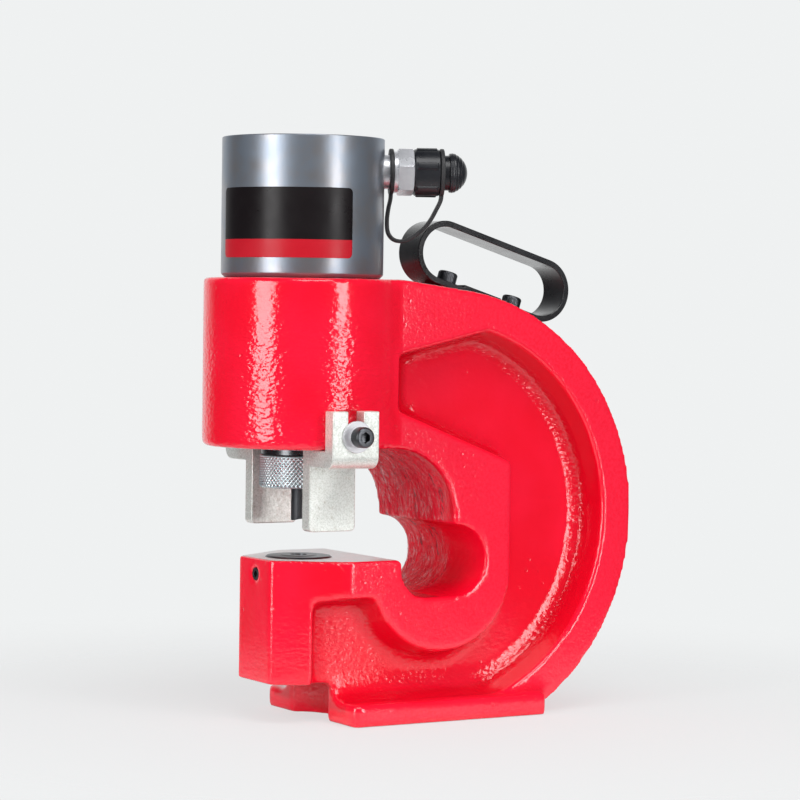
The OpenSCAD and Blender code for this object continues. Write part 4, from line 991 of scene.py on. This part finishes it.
def leash():
    """Two soft-edged rings, and a rounded flat section carried along a smooth route in an upright plane."""
    grids = []
    for start, outer, inner in LEASH_RINGS:
        end = start + RING_T
        outline = soft_outline([[inner, start], [outer, start], [outer, end], [inner, end]], 0.7 * MM, 5)
        grids.append((on_coupler(lathe(outline, 96)), True))
    shares = np.array(STRAP_SHARES)
    knots = np.column_stack([STRAP_START + shares[:, 0] * STRAP_SPAN, (shares[:, 1] - 1) * STRAP_DROP])
    route = smooth_path(knots, 8)
    run = np.gradient(route, axis=0)
    run /= np.linalg.norm(run, axis=1, keepdims=True)
    side = np.column_stack([-run[:, 1], run[:, 0]])
    w, t = STRAP_W / 2, STRAP_T / 2
    section = soft_outline([[-w, -t], [w, -t], [w, t], [-w, t]], 0.9 * MM, 5)
    flat = route[None] + section[:, None, 1:] * side[None]
    across = np.broadcast_to(section[:, None, :1], flat[..., :1].shape)
    grids.append((on_coupler(np.concatenate([across, flat[..., 1:], flat[..., :1]], -1)), False))
    return surface("leash", *grids, sharp=50)


dress(broken_edges("coupler_body", "nipple", 0.25 * MM), "frame", "zinc_steel", BRIGHT_ZINC, "coupler_body")
dress(screw_cap(), "dust_cap_body", "black_plastic", BLACK_PLASTIC, "dust_cap")
dress(leash(), "frame", "black_rubber", BLACK_RUBBER, "cap_leash")
dress(broken_edges("handle", "strip_handle", 0.8 * MM), "frame", "black_paint", BLACK_PAINT, "handle")

# Springs

WIRE_SIDES = 18
TURN_STEPS = 40


def coil(r, wire, turns, height):
    """Round wire carried up a helix that closes to near touching turns at each end."""
    t = np.linspace(0, turns, turns * TURN_STEPS + 1)
    close = wire + 0.6 * MM
    top = height - wire
    rise = np.interp(t, [0, 1, turns - 1, turns], [0, close, top - close, top]) + wire / 2
    a = 2 * np.pi * t
    b = round_angles(WIRE_SIDES)
    out = r + wire / 2 * np.cos(b)
    return np.stack([out * np.cos(a), out * np.sin(a), rise + wire / 2 * np.sin(b)], -1)


def return_coil():
    """Return spring between the bush flange and the piston."""
    tall = spring_high.z - spring_low.z
    points = on_axis(coil(32.5 * MM, 7 * MM, 7, tall) + UP * spring_low.z)
    obj = surface("return_coil", (points, False), sharp=60)
    dress(obj, "frame", "bright_steel", SPRING_STEEL, "return_spring")
    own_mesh(obj)


def valve_coil():
    """Spring behind the coupler's valve."""
    start, tall = 58.2 * MM, 11.8 * MM
    points = on_coupler(coil(4.6 * MM, 1.2 * MM, 5, tall) + UP * start)
    obj = surface("valve_coil", (points, False), sharp=60)
    dress(obj, "frame", "bright_steel", SPRING_STEEL, "poppet_spring")
    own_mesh(obj)


return_coil()
valve_coil()

# Inner pieces keep their nodes and get their finishes

INNER_FINISHES = {
    "guide_bush": BRONZE, "rod_wiper": BLACK_RUBBER, "ram": RAM_STEEL_PAINTED_SHADE, "piston_seal": SEAL_COMPOUND,
    "piston_guide_ring": BRONZE, "coupler_seal": DULL_ZINC, "coupler_poppet": SPRING_STEEL,
}
for node, finish in INNER_FINISHES.items():
    materials = frame["nodes"][node].data.materials
    materials.clear()
    materials.append(finish)

# Camera at the photograph's angle

CAMERA_AIM = Vector((-6.76 * MM, 0, 204.26 * MM))
CAMERA_DISTANCE = 1.8484
CAMERA_TURN, CAMERA_PITCH, CAMERA_ROLL = (math.radians(d) for d in (30.68, 1.86, 0.77))


def add_camera():
    """Camera that looks along its turn and pitch at the aim point, rolled about its own axis."""
    ahead = math.cos(CAMERA_PITCH)
    look = Vector((math.sin(CAMERA_TURN) * ahead, math.cos(CAMERA_TURN) * ahead, -math.sin(CAMERA_PITCH)))
    level = Vector((math.cos(CAMERA_TURN), -math.sin(CAMERA_TURN), 0))
    up = level.cross(look)
    right = level * math.cos(CAMERA_ROLL) + up * math.sin(CAMERA_ROLL)
    top = up * math.cos(CAMERA_ROLL) - level * math.sin(CAMERA_ROLL)
    data = bpy.data.cameras.new("camera")
    data.sensor_width = 36
    data.lens = 127.0
    data.clip_end = 50
    camera = bpy.data.objects.new("camera", data)
    turn = Matrix((right, top, -look)).transposed().to_4x4()
    camera.matrix_world = Matrix.Translation(CAMERA_AIM - look * CAMERA_DISTANCE) @ turn
    bpy.context.scene.collection.objects.link(camera)
    bpy.context.scene.camera = camera


# Studio: pale floor that fades out, three soft boxes and a pale backdrop in a dim room

BACKDROP = (0.865, 0.880, 0.882)
DIM_ROOM = (0.05, 0.053, 0.060)
WORLD_LEVEL = 0.44
FLOOR_GLOW = 0.72
GLOW_LEVEL = 0.86


def add_floor():
    """Round floor by angle and radius; its finish glows for the camera and fades out to clear."""
    r = np.array([[0.0, 0.2, 0.5, 1.0, 2.0]])
    points = turned(r, 0 * r - 0.2 * MM, round_angles(64))
    floor = shaded("floor", clean_mesh("floor", points, grid_faces(64, 5, True)[:, ::-1], False), 60)
    material, tree, bsdf = new_finish("pale floor", Roughness=0.8, Specular_IOR_Level=0.2)
    bsdf.inputs["Base Color"].default_value = (0.88, 0.89, 0.895, 1)
    split = put(tree, "ShaderNodeSeparateXYZ", {"Vector": object_coords(tree)}).outputs
    square = calc(tree, "ADD", product(tree, split["X"], split["X"]), product(tree, split["Y"], split["Y"]))
    clear = remap(tree, calc(tree, "SQRT", square), 0.16, 0.60)
    path = tree.nodes.new("ShaderNodeLightPath").outputs
    glow = put(tree, "ShaderNodeEmission")
    glow.inputs["Color"].default_value = (0.985, 0.995, 1.0, 1)
    glow.inputs["Strength"].default_value = GLOW_LEVEL
    share = product(tree, path["Is Camera Ray"], FLOOR_GLOW)
    lit = put(tree, "ShaderNodeMixShader", {0: share, 1: bsdf.outputs[0], 2: glow.outputs[0]})
    see_through = tree.nodes.new("ShaderNodeBsdfTransparent")
    mix = put(tree, "ShaderNodeMixShader", {0: clear, 1: lit.outputs[0], 2: see_through.outputs[0]})
    tree.links.new(mix.outputs[0], tree.nodes["Material Output"].inputs["Surface"])
    floor.data.materials.append(material)


def add_world():
    """Even world light; the camera and mirrors see the pale backdrop, mirrors also the dim room before it."""
    world = bpy.data.worlds.new("studio")
    world.use_nodes = True
    bpy.context.scene.world = world
    tree = world.node_tree
    ambient = tree.nodes["Background"]
    ambient.inputs["Color"].default_value = (1, 1, 1, 1)
    ambient.inputs["Strength"].default_value = WORLD_LEVEL
    path = tree.nodes.new("ShaderNodeLightPath").outputs
    direction = tree.nodes.new("ShaderNodeTexCoord").outputs["Generated"]
    towards = put(tree, "ShaderNodeVectorMath", {0: direction}, operation="DOT_PRODUCT")
    towards.inputs[1].default_value = (-math.sin(CAMERA_TURN), -math.cos(CAMERA_TURN), 0)
    dim = product(tree, remap(tree, towards.outputs["Value"], -0.90, -0.45), path["Is Glossy Ray"])
    seen = put(tree, "ShaderNodeBackground", {"Color": blend_colours(tree, dim, BACKDROP, DIM_ROOM)})
    direct = largest(tree, path["Is Camera Ray"], path["Is Glossy Ray"], path["Is Transmission Ray"])
    mix = put(tree, "ShaderNodeMixShader", {0: direct, 1: ambient.outputs[0], 2: seen.outputs[0]})
    tree.links.new(mix.outputs[0], tree.nodes["World Output"].inputs["Surface"])


def add_soft_box(name, turn, distance, centre_z, width, height, level):
    """Area light at a turn right of the camera and a distance, facing the object; level is its radiance."""
    bearing = CAMERA_TURN + math.pi - math.radians(turn)
    place = Vector((CAMERA_AIM.x + distance * math.sin(bearing), distance * math.cos(bearing), centre_z))
    data = bpy.data.lights.new(name, "AREA")
    data.shape = "RECTANGLE"
    data.size, data.size_y = width, height
    data.energy = level * math.pi * width * height
    lamp = bpy.data.objects.new(name, data)
    facing = (Vector((CAMERA_AIM.x, 0, 0.2)) - place).to_track_quat("-Z", "Y").to_matrix().to_4x4()
    lamp.matrix_world = Matrix.Translation(place) @ facing
    bpy.context.scene.collection.objects.link(lamp)


add_camera()
add_floor()
add_world()
add_soft_box("left_box", -42, 1.5, 0.47, 0.56, 1.1, 6.0)
add_soft_box("right_box", 47, 1.5, 0.47, 0.34, 1.1, 6.5)
add_soft_box("top_box", 22, 0.95, 1.75, 1.1, 0.9, 4.4)
bpy.context.scene.view_settings.view_transform = "Standard"
